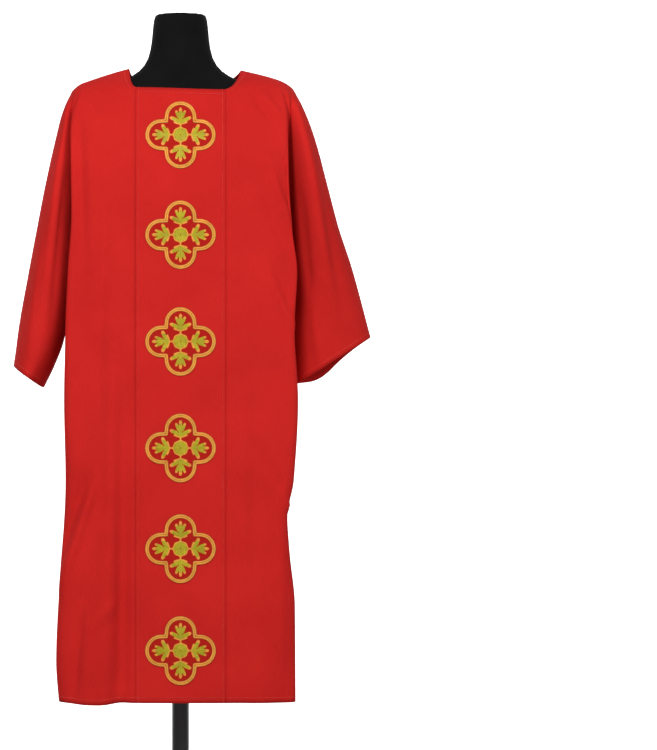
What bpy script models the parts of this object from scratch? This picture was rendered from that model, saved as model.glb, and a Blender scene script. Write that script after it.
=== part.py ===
"""A red dalmatic with a centre panel and quatrefoils, worn by a limbless dress form on a stand.

The front faces -Y and the origin is under the middle of the stand's base. The dalmatic is cut in a T: each
side piece is half of a front or a back in one with half of a sleeve. It is laid out in rows that run from
the centre panel over the body's crest, down into the trench between body and sleeve and out to the overarm
seam. Below the underarm the trench is open, and each row is one run of body and one run of sleeve.
Left and right are the viewer's, looking at the front.
"""

import math
from collections import namedtuple

import bmesh
import bpy
import numpy as np

LEFT, RIGHT = -1, 1
FRONT, BACK = -1, 1
SIDE_NAMES = {LEFT: "left", RIGHT: "right"}
FACE_NAMES = {FRONT: "front", BACK: "back"}

# Cloth
CLOTH = 0.0016
SEAM_GAP = 0.0003
PANEL_HALF_WIDTH = 0.090
FRONT_BOW = 0.10  # share of the depth lost at BOW_REACH from the middle
BOW_REACH = 0.20

# Shoulders and neck
NECK_POINT_Z = 1.523
TIP_Z = {LEFT: 1.4737, RIGHT: 1.4780}
NECK_POINT_X = {LEFT: 0.1045, RIGHT: 0.1235}
NECK_CORNER = {LEFT: 0.85, RIGHT: 0.60}  # how squarely each side of the neckline drops to its low corner
SLOPE_ENDS_Z = 1.30  # where the rows have stopped following the shoulder's slope
NECK_ROWS = {FRONT: 5, BACK: 3}  # the row in which each neckline meets the centre panel

# Underarm
UNDERARM_Z = 1.200
PARTING = 0.020  # the height over which the two seams part below the underarm
SPREAD_ENDS_Z = 1.410

# How deep the garment is below its shoulder line, in front and behind.
Depth = namedtuple("Depth", "drop front back")
DEPTHS = (
    Depth(0.000, 0.0000, 0.000),
    Depth(0.002, 0.0135, 0.016),
    Depth(0.008, 0.0300, 0.034),
    Depth(0.018, 0.0480, 0.054),
    Depth(0.045, 0.0720, 0.080),
    Depth(0.100, 0.0980, 0.102),
    Depth(0.200, 0.1220, 0.121),
    Depth(0.300, 0.1320, 0.124),
    Depth(0.450, 0.1380, 0.121),
    Depth(0.700, 0.1460, 0.130),
    Depth(1.000, 0.1550, 0.145),
    Depth(1.300, 0.1620, 0.155),
)

# The garment's outline from the neck over the shoulder and down the overarm seam.
Outline = namedtuple("Outline", "x z")
OUTLINES = {
    LEFT: (
        Outline(0.0900, NECK_POINT_Z),
        Outline(0.1045, 1.5200),
        Outline(0.1790, 1.4975),
        Outline(0.2060, 1.4870),
        Outline(0.2216, TIP_Z[LEFT]),
        Outline(0.2317, 1.4565),
        Outline(0.2470, 1.4070),
        Outline(0.2778, 1.2720),
        Outline(0.3000, 1.1530),
        Outline(0.3180, 1.0610),
        Outline(0.3405, 0.9120),
    ),
    RIGHT: (
        Outline(0.0900, NECK_POINT_Z),
        Outline(0.1235, 1.5165),
        Outline(0.1900, 1.5000),
        Outline(0.2130, 1.4907),
        Outline(0.2304, TIP_Z[RIGHT]),
        Outline(0.2430, 1.4585),
        Outline(0.2540, 1.4310),
        Outline(0.2880, 1.3330),
        Outline(0.3065, 1.2470),
        Outline(0.3387, 1.1470),
        Outline(0.3885, 0.9700),
    ),
}

# The body on each side: its crest, which is its widest line, the wall behind the crest where the side seam
# runs, and how softly the crest turns.
Body = namedtuple("Body", "z crest wall soft")
BODIES = {
    LEFT: (
        Body(1.46, 0.2150, 0.2050, 0.018),
        Body(1.37, 0.2240, 0.2030, 0.018),
        Body(1.22, 0.2220, 0.2020, 0.022),
        Body(1.10, 0.2300, 0.2060, 0.028),
        Body(0.97, 0.2350, 0.2140, 0.034),
        Body(0.84, 0.2355, 0.2260, 0.042),
        Body(0.68, 0.2315, 0.2260, 0.050),
        Body(0.46, 0.2440, 0.2410, 0.055),
        Body(0.32, 0.2500, 0.2460, 0.055),
        Body(0.22, 0.2430, 0.2380, 0.050),
    ),
    RIGHT: (
        Body(1.46, 0.2160, 0.2050, 0.020),
        Body(1.27, 0.2220, 0.2040, 0.024),
        Body(1.18, 0.2290, 0.2060, 0.028),
        Body(1.10, 0.2390, 0.2080, 0.030),
        Body(0.98, 0.2320, 0.2120, 0.034),
        Body(0.84, 0.2385, 0.2240, 0.040),
        Body(0.68, 0.2280, 0.2220, 0.045),
        Body(0.61, 0.2150, 0.2090, 0.045),
        Body(0.54, 0.2190, 0.2140, 0.048),
        Body(0.43, 0.2300, 0.2250, 0.050),
        Body(0.22, 0.2310, 0.2260, 0.045),
    ),
}

# The sleeve on each side: where its underarm runs, or the trench's outer wall above it, where its overarm
# runs, how deep it is in front and behind, how broad its rounded edges are, and how much its back sags.
Sleeve = namedtuple("Sleeve", "z under over over_z front back edge sag")
SLEEVES = {
    LEFT: (
        Sleeve(1.4737, 0.2190, 0.2216, 1.4737, 0.010, 0.010, 0.004, 0.000),
        Sleeve(1.4400, 0.2225, 0.2375, 1.4400, 0.052, 0.050, 0.006, 0.000),
        Sleeve(1.3700, 0.2190, 0.2560, 1.3700, 0.076, 0.078, 0.016, 0.000),
        Sleeve(1.2800, 0.2180, 0.2760, 1.2800, 0.096, 0.094, 0.022, 0.000),
        Sleeve(1.2000, 0.2180, 0.2915, 1.2000, 0.104, 0.102, 0.026, 0.000),
        Sleeve(1.1000, 0.2210, 0.3100, 1.1020, 0.110, 0.108, 0.028, 0.000),
        Sleeve(0.9690, 0.2400, 0.3300, 0.9900, 0.110, 0.108, 0.028, 0.000),
        Sleeve(0.9110, 0.2610, 0.3365, 0.9400, 0.111, 0.108, 0.024, 0.000),
        Sleeve(0.8680, 0.2820, 0.3405, 0.9120, 0.112, 0.108, 0.020, 0.000),
    ),
    RIGHT: (
        Sleeve(1.4780, 0.2280, 0.2304, 1.4780, 0.010, 0.010, 0.004, 0.000),
        Sleeve(1.4400, 0.2240, 0.2505, 1.4400, 0.052, 0.052, 0.010, 0.000),
        Sleeve(1.3700, 0.2270, 0.2760, 1.3700, 0.078, 0.078, 0.018, 0.000),
        Sleeve(1.2800, 0.2300, 0.3000, 1.2800, 0.097, 0.092, 0.024, 0.000),
        Sleeve(1.2000, 0.2310, 0.3210, 1.2000, 0.097, 0.090, 0.030, 0.000),
        Sleeve(1.1000, 0.2330, 0.3500, 1.1120, 0.090, 0.082, 0.038, 0.000),
        Sleeve(0.9800, 0.2360, 0.3740, 1.0250, 0.079, 0.070, 0.048, 0.012),
        Sleeve(0.8750, 0.2400, 0.3885, 0.9700, 0.070, 0.060, 0.052, 0.055),
    ),
}

# The back edge of a cuff: how much of its sag shows from the underarm seam across to the overarm seam.
CuffSag = namedtuple("CuffSag", "across share")
CUFF_SAGS = (
    CuffSag(0.00, 0.00),
    CuffSag(0.12, 0.45),
    CuffSag(0.24, 0.62),
    CuffSag(0.33, 0.48),
    CuffSag(0.45, 0.82),
    CuffSag(0.57, 1.00),
    CuffSag(0.68, 0.00),
    CuffSag(1.00, 0.00),
)

# How much of the way from the surface to the seam the trench between body and sleeve reaches.
Trench = namedtuple("Trench", "z share")
TRENCHES = (
    Trench(1.480, 0.00),
    Trench(1.468, 0.05),
    Trench(1.450, 0.18),
    Trench(1.410, 0.42),
    Trench(1.350, 0.62),
    Trench(1.280, 0.78),
    Trench(1.225, 0.90),
    Trench(1.206, 0.965),
    Trench(UNDERARM_Z, 1.00),
)

# The large hanging folds, outwards from the middle: where each starts, is full, ends being full and is over,
# how far it stands out and how much lower it lets the hem hang there, and how high up it starts.
Fold = namedtuple("Fold", "face side start full hold end reach drop top_z")
FOLDS = (
    Fold(FRONT, LEFT, 0.115, 0.165, 0.180, 0.245, 0.016, 0.008, 1.00),
    Fold(FRONT, LEFT, 0.092, 0.118, 0.122, 0.150, -0.008, 0.000, 0.95),
    Fold(FRONT, RIGHT, 0.105, 0.155, 0.165, 0.230, 0.008, 0.000, 0.80),
    Fold(BACK, LEFT, 0.152, 0.178, 0.300, 0.310, 0.026, 0.040, 1.00),
    Fold(BACK, LEFT, 0.100, 0.138, 0.142, 0.168, -0.010, 0.000, 1.05),
    Fold(BACK, RIGHT, 0.148, 0.174, 0.300, 0.310, 0.028, 0.038, 1.05),
    Fold(BACK, RIGHT, 0.095, 0.130, 0.135, 0.162, -0.010, 0.000, 1.05),
)
HEM_Z = {FRONT: 0.241, BACK: 0.262}
SIDE_HEM_Z = 0.232
HEM_FADES_Z = 0.60

# The rows of cloth, by their height at the trench or the side seam.
JOINED_LEVELS = (
    1.4715, 1.4660, 1.4570, 1.4455, 1.4335, 1.415, 1.385, 1.345, 1.300, 1.255, 1.222, 1.206, UNDERARM_Z,
)
BODY_LEVELS = (1.192, 1.172, 1.13, 1.07, 1.00, 0.93, 0.86, 0.79, 0.72, 0.65, 0.60, 0.54, 0.47, 0.40, 0.33)
HEM_ROW_RISES = (0.045, 0.0)
SLEEVE_LEVELS = (1.192, 1.172, 1.13, 1.07, 1.00, 0.94)
BODY_COLUMNS = 9
SLEEVE_COLUMNS = 7
PANEL_COLUMNS = 7

# Quatrefoils: four lobes about a cross, a little wider than high, which meet in square notches
MOTIF_WIDTH = 0.141
MOTIF_HEIGHT = 0.137
MOTIF_LIFT = 0.0003
MOTIF_THICKNESS = 0.0008
MOTIF_LOBE_RADIUS = 0.0315
MOTIF_NOTCH = (0.0325, 0.0320)
MOTIF_LOBE_POINTS = 6
MOTIF_HEIGHTS = {
    FRONT: (1.376, 1.174, 0.960, 0.747, 0.546, 0.343),
    BACK: (1.397, 1.192, 0.979, 0.767, 0.567, 0.365),
}

# Dress form and stand
Ring = namedtuple("Ring", "z half_width front back")
FORM_RINGS = (
    Ring(0.800, 0.1500, 0.095, 0.100),
    Ring(0.815, 0.1620, 0.104, 0.112),
    Ring(0.880, 0.1700, 0.112, 0.116),
    Ring(0.960, 0.1600, 0.108, 0.106),
    Ring(1.060, 0.1380, 0.100, 0.088),
    Ring(1.160, 0.1450, 0.104, 0.094),
    Ring(1.270, 0.1660, 0.110, 0.106),
    Ring(1.370, 0.1800, 0.096, 0.100),
    Ring(1.430, 0.1830, 0.066, 0.082),
    Ring(1.463, 0.1730, 0.053, 0.066),
    Ring(1.484, 0.1480, 0.048, 0.054),
    Ring(1.498, 0.1150, 0.047, 0.048),
    Ring(1.514, 0.0840, 0.049, 0.046),
    Ring(1.540, 0.0650, 0.050, 0.046),
    Ring(1.580, 0.0585, 0.050, 0.046),
    Ring(1.624, 0.0560, 0.050, 0.046),
)
FORM_SEGMENTS = 28
FORM_TOP_Z = 1.631
FORM_EDGE = 0.006
POLE_RADIUS = 0.0175
BASE_RADIUS = 0.190
BASE_HEIGHT = 0.022
BASE_RIM = 0.010
COLLAR_RADIUS = 0.032
COLLAR_HEIGHT = 0.070
TURN_STEPS = 48

COLLECTION = "dalmatic_on_dress_form"


def eased(table, key, column, at):
    """A column of a table at any value of its key, on a smooth curve that never overshoots the rows."""
    rows = sorted(table, key=lambda row: getattr(row, key))
    known = np.array([getattr(row, key) for row in rows])
    values = np.array([getattr(row, column) for row in rows])
    step = np.diff(known)
    slope = np.diff(values) / step
    tangent = np.concatenate([slope[:1], np.zeros(len(rows) - 2), slope[-1:]])
    same_way = slope[:-1] * slope[1:] > 0
    total = np.where(same_way, slope[:-1] + slope[1:], 1.0)
    tangent[1:-1] = np.where(same_way, 2 * slope[:-1] * slope[1:] / total, 0.0)
    at = np.clip(at, known[0], known[-1])
    i = np.clip(np.searchsorted(known, at) - 1, 0, len(step) - 1)
    t = (at - known[i]) / step[i]
    start = values[i] * (1 + 2 * t) * (1 - t) ** 2 + tangent[i] * step[i] * t * (1 - t) ** 2
    end = values[i + 1] * t * t * (3 - 2 * t) + tangent[i + 1] * step[i] * t * t * (t - 1)
    return start + end


def smooth_step(t):
    t = np.clip(t, 0.0, 1.0)
    return t * t * (3 - 2 * t)


def spline(controls, count):
    """Points along the curve that joins the first and last controls and touches each leg at its middle."""
    controls = np.array(controls, float)
    pieces = len(controls) - 2
    t = np.linspace(0.0, pieces, count)
    piece = np.minimum(t.astype(int), pieces - 1)
    t = (t - piece)[:, None]
    before, corner, after = controls[piece], controls[piece + 1], controls[piece + 2]
    start = np.where(piece[:, None] == 0, before, (before + corner) / 2)
    end = np.where(piece[:, None] == pieces - 1, after, (corner + after) / 2)
    return start * (1 - t) ** 2 + 2 * corner * t * (1 - t) + end * t * t


def shoulder_z(side, x):
    return eased(OUTLINES[side], "x", "z", x)


def overarm_x(side, z):
    return eased(OUTLINES[side][4:], "z", "x", z)


def level_z(side, x, level):
    """The height at x of the row whose height is level at the trench: high rows follow the shoulder."""
    follow = smooth_step((level - SLOPE_ENDS_Z) / (TIP_Z[side] - SLOPE_ENDS_Z))
    return level + max(shoulder_z(side, x) - TIP_Z[side], 0.0) * follow


def depth_at(face, side, x, z):
    """How far the body's front or back lies from the shoulder's plane."""
    drop = max(shoulder_z(side, x) - z, 0.0)
    roots = [Depth(math.sqrt(row.drop), row.front, row.back) for row in DEPTHS]
    depth = eased(roots, "drop", FACE_NAMES[face], math.sqrt(drop))
    return float(depth * (1 - FRONT_BOW * (x / BOW_REACH) ** 2))


def fold_shape(fold, face, side, x, z):
    """A fold's share at a place: it fades in below its top and across its flanks."""
    if (fold.face, fold.side) != (face, side):
        return 0.0
    down = smooth_step((fold.top_z - z) / (fold.top_z - HEM_Z[face]))
    rise = smooth_step((x - fold.start) / (fold.full - fold.start))
    fall = smooth_step((fold.end - x) / (fold.end - fold.hold))
    return float(down * rise * fall)


def fold_relief(face, side, x, z):
    return sum(fold.reach * fold_shape(fold, face, side, x, z) for fold in FOLDS)


def hem_drop(face, side, x, z, forward):
    """How much lower the cloth hangs near the hem: in the folds, and evened out towards the side seam."""
    near_hem = smooth_step((HEM_FADES_Z - z) / (HEM_FADES_Z - HEM_Z[face]))
    folds = sum(fold.drop * fold_shape(fold, face, side, x, z) for fold in FOLDS)
    return near_hem * (forward * folds + (1 - forward) * (HEM_Z[face] - SIDE_HEM_Z))


def folded(face, side, point, front_depth):
    """A point of the body moved out and down by the folds, which have run out at the side seam."""
    x, y, z = point
    forward = smooth_step(y / front_depth / 0.6)
    y += forward * fold_relief(face, side, x, z)
    return np.array([x, y, z - hem_drop(face, side, x, z, forward)])


def neck_edge(side, face, share):
    """The neckline's side, from the shoulder seam down to the top of the centre panel's seam."""
    seam_x = PANEL_HALF_WIDTH + SEAM_GAP / 2
    low_z = level_z(side, seam_x, JOINED_LEVELS[NECK_ROWS[face] - 1])
    low = np.array([seam_x, depth_at(face, side, seam_x, low_z), low_z])
    high = np.array([NECK_POINT_X[side], SEAM_GAP / 2, shoulder_z(side, NECK_POINT_X[side])])
    corner = np.array([seam_x + NECK_CORNER[side] * (high[0] - seam_x), 0.97 * low[1], low[2] + 0.002])
    return high * (1 - share) ** 2 + 2 * corner * share * (1 - share) + low * share**2


def trench_share(level):
    """How far the trench reaches towards the seam at a row: all the way from the underarm down."""
    return float(eased(TRENCHES, "z", "share", level)) if level > UNDERARM_Z else 1.0


def wall_x(side, level):
    """Where the body's wall stands behind its crest: a shallow trench isn't undercut yet."""
    crest, wall = eased(BODIES[side], "z", "crest", level), eased(BODIES[side], "z", "wall", level)
    undercut = smooth_step((trench_share(level) - 0.25) / 0.35)
    return crest - (crest - wall) * undercut


def body_controls(side, face, row, level):
    """The controls of a row of the body, from the centre panel's seam to the trench or the side seam."""
    table = BODIES[side]
    crest, wall = eased(table, "z", "crest", level), wall_x(side, level)
    soft = eased(table, "z", "soft", level)
    under = eased(SLEEVES[side], "z", "under", level)
    points = []
    seam_x = PANEL_HALF_WIDTH + SEAM_GAP / 2
    if row <= NECK_ROWS[face]:
        points.append(neck_edge(side, face, row / NECK_ROWS[face]))
        inner_x = points[0][0]
    else:
        inner_x = seam_x
        z = level_z(side, seam_x, level)
        points.append(np.array([seam_x, depth_at(face, side, seam_x, z), z]))
    for share in (0.45, 1.0):
        x = inner_x + (crest - soft - inner_x) * share
        z = level_z(side, x, level)
        points.append(np.array([x, depth_at(face, side, x, z), z]))
    depth = points[-1][1]
    bottom = max(depth * (1 - trench_share(level)), SEAM_GAP / 2)
    z = level_z(side, crest, level)
    points.append(np.array([crest, max(0.985 * depth, bottom), z]))
    points.append(np.array([crest - 0.5 * (crest - wall), max(depth - soft, bottom), z]))
    points.append(np.array([wall, bottom + 0.5 * max(depth - soft - bottom, 0.0), z]))
    points.append(np.array([wall, bottom, z]))
    parted = math.sqrt(min((UNDERARM_Z - level) / PARTING, 1.0)) if level < UNDERARM_Z else 0.0
    middle = (wall + under) / 2
    points.append(np.array([middle + (wall - middle) * parted, bottom, z]))
    return points


def sleeve_controls(side, face, level):
    """The controls of a row of the sleeve, from the trench or the underarm seam to the overarm seam."""
    table = SLEEVES[side]
    under, over = eased(table, "z", "under", level), eased(table, "z", "over", level)
    over_z = level if level >= UNDERARM_Z else eased(table, "z", "over_z", level)
    depth = eased(table, "z", FACE_NAMES[face], level)
    edge, sag = eased(table, "z", "edge", level), eased(table, "z", "sag", level)
    bottom = max(depth * (1 - trench_share(level)), SEAM_GAP / 2)
    wall = wall_x(side, level)
    middle = (wall + under) / 2
    parted = math.sqrt(min((UNDERARM_Z - level) / PARTING, 1.0)) if level < UNDERARM_Z else 0.0
    outline = (
        (middle + (under - middle) * parted, bottom),
        (under, bottom),
        (under, bottom + 0.45 * (depth - bottom)),
        (under + edge, depth),
        (over - edge, 0.96 * depth),
        (over, 0.45 * depth),
        (over, SEAM_GAP / 2),
    )
    points = []
    for x, y in outline:
        across = (x - under) / (over - under)
        z = level + (over_z - level) * across
        if face == BACK:
            z -= sag * eased(CUFF_SAGS, "across", "share", across) * min(y / depth, 1.0)
        points.append(np.array([x, y, z]))
    return points


def spread_out(side, level, body, sleeve):
    """Near the shoulder seam the trench has run out, so its controls lie evenly on the shoulder."""
    tucked = smooth_step((TIP_Z[side] - level) / (TIP_Z[side] - SPREAD_ENDS_Z))
    if tucked >= 1.0:
        return body, sleeve
    start, end = body[2], sleeve[-1]
    loose = body[3:] + sleeve[1:-1]
    for i, point in enumerate(loose):
        share = (i + 1) / (len(loose) + 1)
        x = start[0] + (end[0] - start[0]) * share
        z = level_z(side, x, level)
        drop_share = math.sqrt(max(1 - share**2.5, 0.0))
        even = np.array([x, SEAM_GAP / 2 + (start[1] - SEAM_GAP / 2) * drop_share, z])
        loose[i] = even + (point - even) * tucked
    body = body[:3] + loose[: len(body) - 3]
    sleeve = [body[-1]] + loose[len(body) - 3 :] + [end]
    return body, sleeve


def shoulder_row(side):
    """The shoulder seam itself, from the neck point to the tip of the shoulder."""
    count = BODY_COLUMNS + SLEEVE_COLUMNS - 1
    xs = np.linspace(NECK_POINT_X[side], overarm_x(side, TIP_Z[side]), count)
    return [np.array([x, SEAM_GAP / 2, shoulder_z(side, x)]) for x in xs]


def placed(side, face, point):
    return (side * point[0], face * point[1], point[2])


class Sheet:
    """An open surface that is built up from rows of points."""

    def __init__(self):
        self.mesh = bmesh.new()

    def row(self, points):
        return [self.mesh.verts.new(point) for point in points]

    def between(self, upper, lower):
        for a, b, c, d in zip(upper, upper[1:], lower[1:], lower):
            self.mesh.faces.new((a, b, c, d))

    def outward(self, face):
        """Every face turned to look away from the wearer: the first one shows whether they all must turn."""
        self.mesh.normal_update()
        facing = sum(item.normal.y * item.calc_area() for item in self.mesh.faces)
        if facing * face < 0:
            bmesh.ops.reverse_faces(self.mesh, faces=self.mesh.faces[:])


def material(name, colour, roughness, metallic=0.0):
    made = bpy.data.materials.new(name)
    made.use_nodes = True
    shader = made.node_tree.nodes["Principled BSDF"]
    shader.inputs["Base Color"].default_value = (*colour, 1.0)
    shader.inputs["Roughness"].default_value = roughness
    shader.inputs["Metallic"].default_value = metallic
    made.diffuse_color = (*colour, 1.0)
    return made


def add_object(name, mesh, finish, collection):
    made = bpy.data.objects.new(name, mesh)
    made.data.materials.append(finish)
    collection.objects.link(made)
    return made


def add_shell(name, sheet, thickness, finish, collection):
    data = bpy.data.meshes.new(name)
    sheet.mesh.to_mesh(data)
    sheet.mesh.free()
    data.shade_smooth()
    made = add_object(name, data, finish, collection)
    wall = made.modifiers.new("Wall", "SOLIDIFY")
    wall.thickness = thickness
    wall.offset = 1.0
    wall.use_even_offset = True
    return made


def body_row(side, face, row, level):
    """A row of the body's points, and of the sleeve's when the level is above the underarm."""
    body = body_controls(side, face, row, level)
    if level < UNDERARM_Z:
        points = spline(body, BODY_COLUMNS)
        return [folded(face, side, point, body[2][1]) for point in points], []
    body, sleeve = spread_out(side, level, body, sleeve_controls(side, face, level))
    sleeve_points = spline(sleeve, SLEEVE_COLUMNS)[1:]
    return list(spline(body, BODY_COLUMNS)), list(sleeve_points)


def hem_levels(face):
    return tuple(HEM_Z[face] + rise for rise in HEM_ROW_RISES)


def side_piece(side, face, finish, collection):
    """Half of a front or back with its half of the sleeve, as one forked sheet."""
    sheet = Sheet()
    upper = sheet.row(placed(side, face, point) for point in shoulder_row(side))
    for row, level in enumerate(JOINED_LEVELS, start=1):
        body, sleeve = body_row(side, face, row, level)
        lower = sheet.row(placed(side, face, point) for point in body + sleeve)
        sheet.between(upper, lower)
        upper = lower
    body_above, sleeve_above = upper[:BODY_COLUMNS], upper[BODY_COLUMNS - 1 :]
    for level in BODY_LEVELS + hem_levels(face):
        body, _ = body_row(side, face, len(JOINED_LEVELS), level)
        lower = sheet.row(placed(side, face, point) for point in body)
        sheet.between(body_above, lower)
        body_above = lower
    cuff_level = min(row.z for row in SLEEVES[side])
    for level in SLEEVE_LEVELS + (cuff_level,):
        points = spline(sleeve_controls(side, face, level), SLEEVE_COLUMNS)
        lower = sheet.row(placed(side, face, point) for point in points)
        sheet.between(sleeve_above, lower)
        sleeve_above = lower
    sheet.outward(face)
    return add_shell(f"{FACE_NAMES[face]}_{SIDE_NAMES[side]}_side", sheet, CLOTH, finish, collection)


def panel_columns():
    half = PANEL_HALF_WIDTH - SEAM_GAP / 2
    return np.linspace(-half, half, PANEL_COLUMNS)


def panel_heights(face):
    """The heights of the centre panel's rows, which meet those of the side pieces."""
    levels = JOINED_LEVELS[NECK_ROWS[face] - 1 :] + BODY_LEVELS + hem_levels(face)
    return np.array([level_z(LEFT, PANEL_HALF_WIDTH, level) for level in levels])


def panel_depth(face, x, z):
    side = LEFT if x < 0 else RIGHT
    return depth_at(face, side, abs(x), z) + fold_relief(face, side, abs(x), z)


def centre_panel(face, finish, collection):
    """The straight panel down the middle."""
    sheet = Sheet()
    above = None
    for z in panel_heights(face):
        points = [(x, face * panel_depth(face, x, z), z) for x in panel_columns()]
        lower = sheet.row(points)
        if above:
            sheet.between(above, lower)
        above = lower
    sheet.outward(face)
    return add_shell(f"{FACE_NAMES[face]}_centre_panel", sheet, CLOTH, finish, collection)


def quatrefoil_outline():
    """The outline of four round lobes with square notches between them, about (0, 0)."""
    half_sweep = math.radians(90)
    points = []
    for lobe in range(4):
        heading = lobe * math.pi / 2
        forward = np.array([round(math.cos(heading)), round(math.sin(heading))])
        reach = np.abs(forward) @ np.array([MOTIF_WIDTH, MOTIF_HEIGHT]) / 2 - MOTIF_LOBE_RADIUS
        for turn in np.linspace(-half_sweep, half_sweep, MOTIF_LOBE_POINTS):
            angle = heading + turn
            points.append(reach * forward + MOTIF_LOBE_RADIUS * np.array([math.cos(angle), math.sin(angle)]))
        corner = heading + math.pi / 4
        points.append(np.array(MOTIF_NOTCH) * np.sign([math.cos(corner), math.sin(corner)]))
    return points


def on_facets(face, x, z):
    """The depth of the built panel at a place, between its own rows and columns."""
    heights = panel_heights(face)
    columns = panel_columns()
    row = int(np.clip(np.searchsorted(-heights, -z) - 1, 0, len(heights) - 2))
    share = (heights[row] - z) / (heights[row] - heights[row + 1])
    depths = []
    for height in heights[row : row + 2]:
        depths.append(np.interp(x, columns, [panel_depth(face, column, height) for column in columns]))
    return depths[0] + (depths[1] - depths[0]) * share


def quatrefoil(face, number, finish, collection):
    """An embroidered quatrefoil: a thin plate, creased where the panel's own facets meet, and moved out."""
    centre_z = MOTIF_HEIGHTS[face][number - 1]
    sheet = Sheet()
    mesh = sheet.mesh
    outline = [mesh.verts.new((x, 0.0, centre_z + z)) for x, z in quatrefoil_outline()]
    mesh.faces.new(outline)
    creases = [((x, 0, 0), (1, 0, 0)) for x in panel_columns()]
    creases += [((0, 0, z), (0, 0, 1)) for z in panel_heights(face)]
    for place, normal in creases:
        everything = mesh.verts[:] + mesh.edges[:] + mesh.faces[:]
        bmesh.ops.bisect_plane(mesh, geom=everything, dist=1e-5, plane_co=place, plane_no=normal)
    for point in mesh.verts:
        x, _, z = point.co
        point.co.y = face * on_facets(face, x, z)
    sheet.outward(face)
    mesh.normal_update()
    lifts = [point.normal * (CLOTH + MOTIF_LIFT) for point in mesh.verts]
    for point, lift in zip(mesh.verts, lifts):
        point.co += lift
    name = f"{FACE_NAMES[face]}_quatrefoil_{number}"
    return add_shell(name, sheet, MOTIF_THICKNESS, finish, collection)


def form_bust(finish, collection):
    """The bust from the hips to the flat top of the neck, lofted through its rings."""
    shape = bmesh.new()
    rows = []
    top = FORM_RINGS[-1]
    inset = 1 - FORM_EDGE / top.half_width
    rings = FORM_RINGS + (Ring(FORM_TOP_Z, inset * top.half_width, inset * top.front, inset * top.back),)
    for ring in rings:
        row = []
        for i in range(FORM_SEGMENTS):
            turn = 2 * math.pi * i / FORM_SEGMENTS
            depth = ring.front if math.sin(turn) < 0 else ring.back
            row.append(shape.verts.new((ring.half_width * math.cos(turn), depth * math.sin(turn), ring.z)))
        rows.append(row)
    for lower, upper in zip(rows, rows[1:]):
        for i in range(FORM_SEGMENTS):
            j = (i + 1) % FORM_SEGMENTS
            shape.faces.new((lower[i], lower[j], upper[j], upper[i]))
    shape.faces.new(rows[0][::-1])
    shape.faces.new(rows[-1])
    data = bpy.data.meshes.new("form_bust")
    shape.to_mesh(data)
    shape.free()
    data.shade_smooth()
    return add_object("form_bust", data, finish, collection)


def turned(name, profile, finish, collection):
    """A round piece turned about Z from a profile of (radius, height) that starts and ends on the axis."""
    shape = bmesh.new()
    points = [shape.verts.new((radius, 0.0, height)) for radius, height in profile]
    for upper, lower in zip(points, points[1:]):
        shape.edges.new((upper, lower))
    data = bpy.data.meshes.new(name)
    shape.to_mesh(data)
    shape.free()
    made = add_object(name, data, finish, collection)
    turn = made.modifiers.new("Turn", "SCREW")
    turn.steps = turn.render_steps = TURN_STEPS
    turn.use_merge_vertices = True
    turn.merge_threshold = 0.00001
    turn.use_smooth_shade = True
    return made


def stand(black_metal, collection):
    """A round base with a collar, and the pole that carries the bust."""
    base_profile = (
        (0.0, COLLAR_HEIGHT),
        (COLLAR_RADIUS - 0.003, COLLAR_HEIGHT),
        (COLLAR_RADIUS, COLLAR_HEIGHT - 0.003),
        (COLLAR_RADIUS, BASE_HEIGHT + 0.006),
        (COLLAR_RADIUS + 0.010, BASE_HEIGHT),
        (BASE_RADIUS - 0.030, BASE_HEIGHT - 0.004),
        (BASE_RADIUS - 0.006, BASE_RIM + 0.003),
        (BASE_RADIUS, BASE_RIM - 0.002),
        (BASE_RADIUS, 0.003),
        (BASE_RADIUS - 0.003, 0.0),
        (0.0, 0.0),
    )
    turned("stand_base", base_profile, black_metal, collection)
    low, high = COLLAR_HEIGHT + SEAM_GAP, FORM_RINGS[0].z - SEAM_GAP
    pole_profile = ((0.0, high), (POLE_RADIUS, high), (POLE_RADIUS, low), (0.0, low))
    turned("stand_pole", pole_profile, black_metal, collection)


def main():
    for item in list(bpy.data.objects):
        bpy.data.objects.remove(item, do_unlink=True)
    collection = bpy.data.collections.new(COLLECTION)
    bpy.context.scene.collection.children.link(collection)
    red = material("red_cloth", (0.60, 0.020, 0.016), 0.75)
    gold = material("gold_embroidery", (0.80, 0.42, 0.10), 0.55)
    jersey = material("black_jersey", (0.012, 0.012, 0.014), 0.85)
    black_metal = material("black_metal", (0.02, 0.02, 0.022), 0.40, 0.6)
    for face in (FRONT, BACK):
        centre_panel(face, red, collection)
        for side in (LEFT, RIGHT):
            side_piece(side, face, red, collection)
        for number in range(1, len(MOTIF_HEIGHTS[face]) + 1):
            quatrefoil(face, number, gold, collection)
    form_bust(jersey, collection)
    stand(black_metal, collection)


main()
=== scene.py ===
"""The looks of a red wide-sleeved dalmatic with embroidered quatrefoils, worn by a black dress form.

The front faces -Y, +Z is up and the origin is under the middle of the stand's base. Left and right are the
viewer's, looking at the front. Each side piece is half of a front or a back in one with half of a sleeve. It
is laid out in rows from the centre panel over the body's crest, down into the trench between body and sleeve
and out to the overarm seam; below the underarm each row is one run of body and one run of sleeve.
"""

import math  # noqa: E402
from collections import namedtuple  # noqa: E402

import bmesh  # noqa: E402
import bpy  # noqa: E402
import numpy as np  # noqa: E402
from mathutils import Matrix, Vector  # noqa: E402


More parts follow.
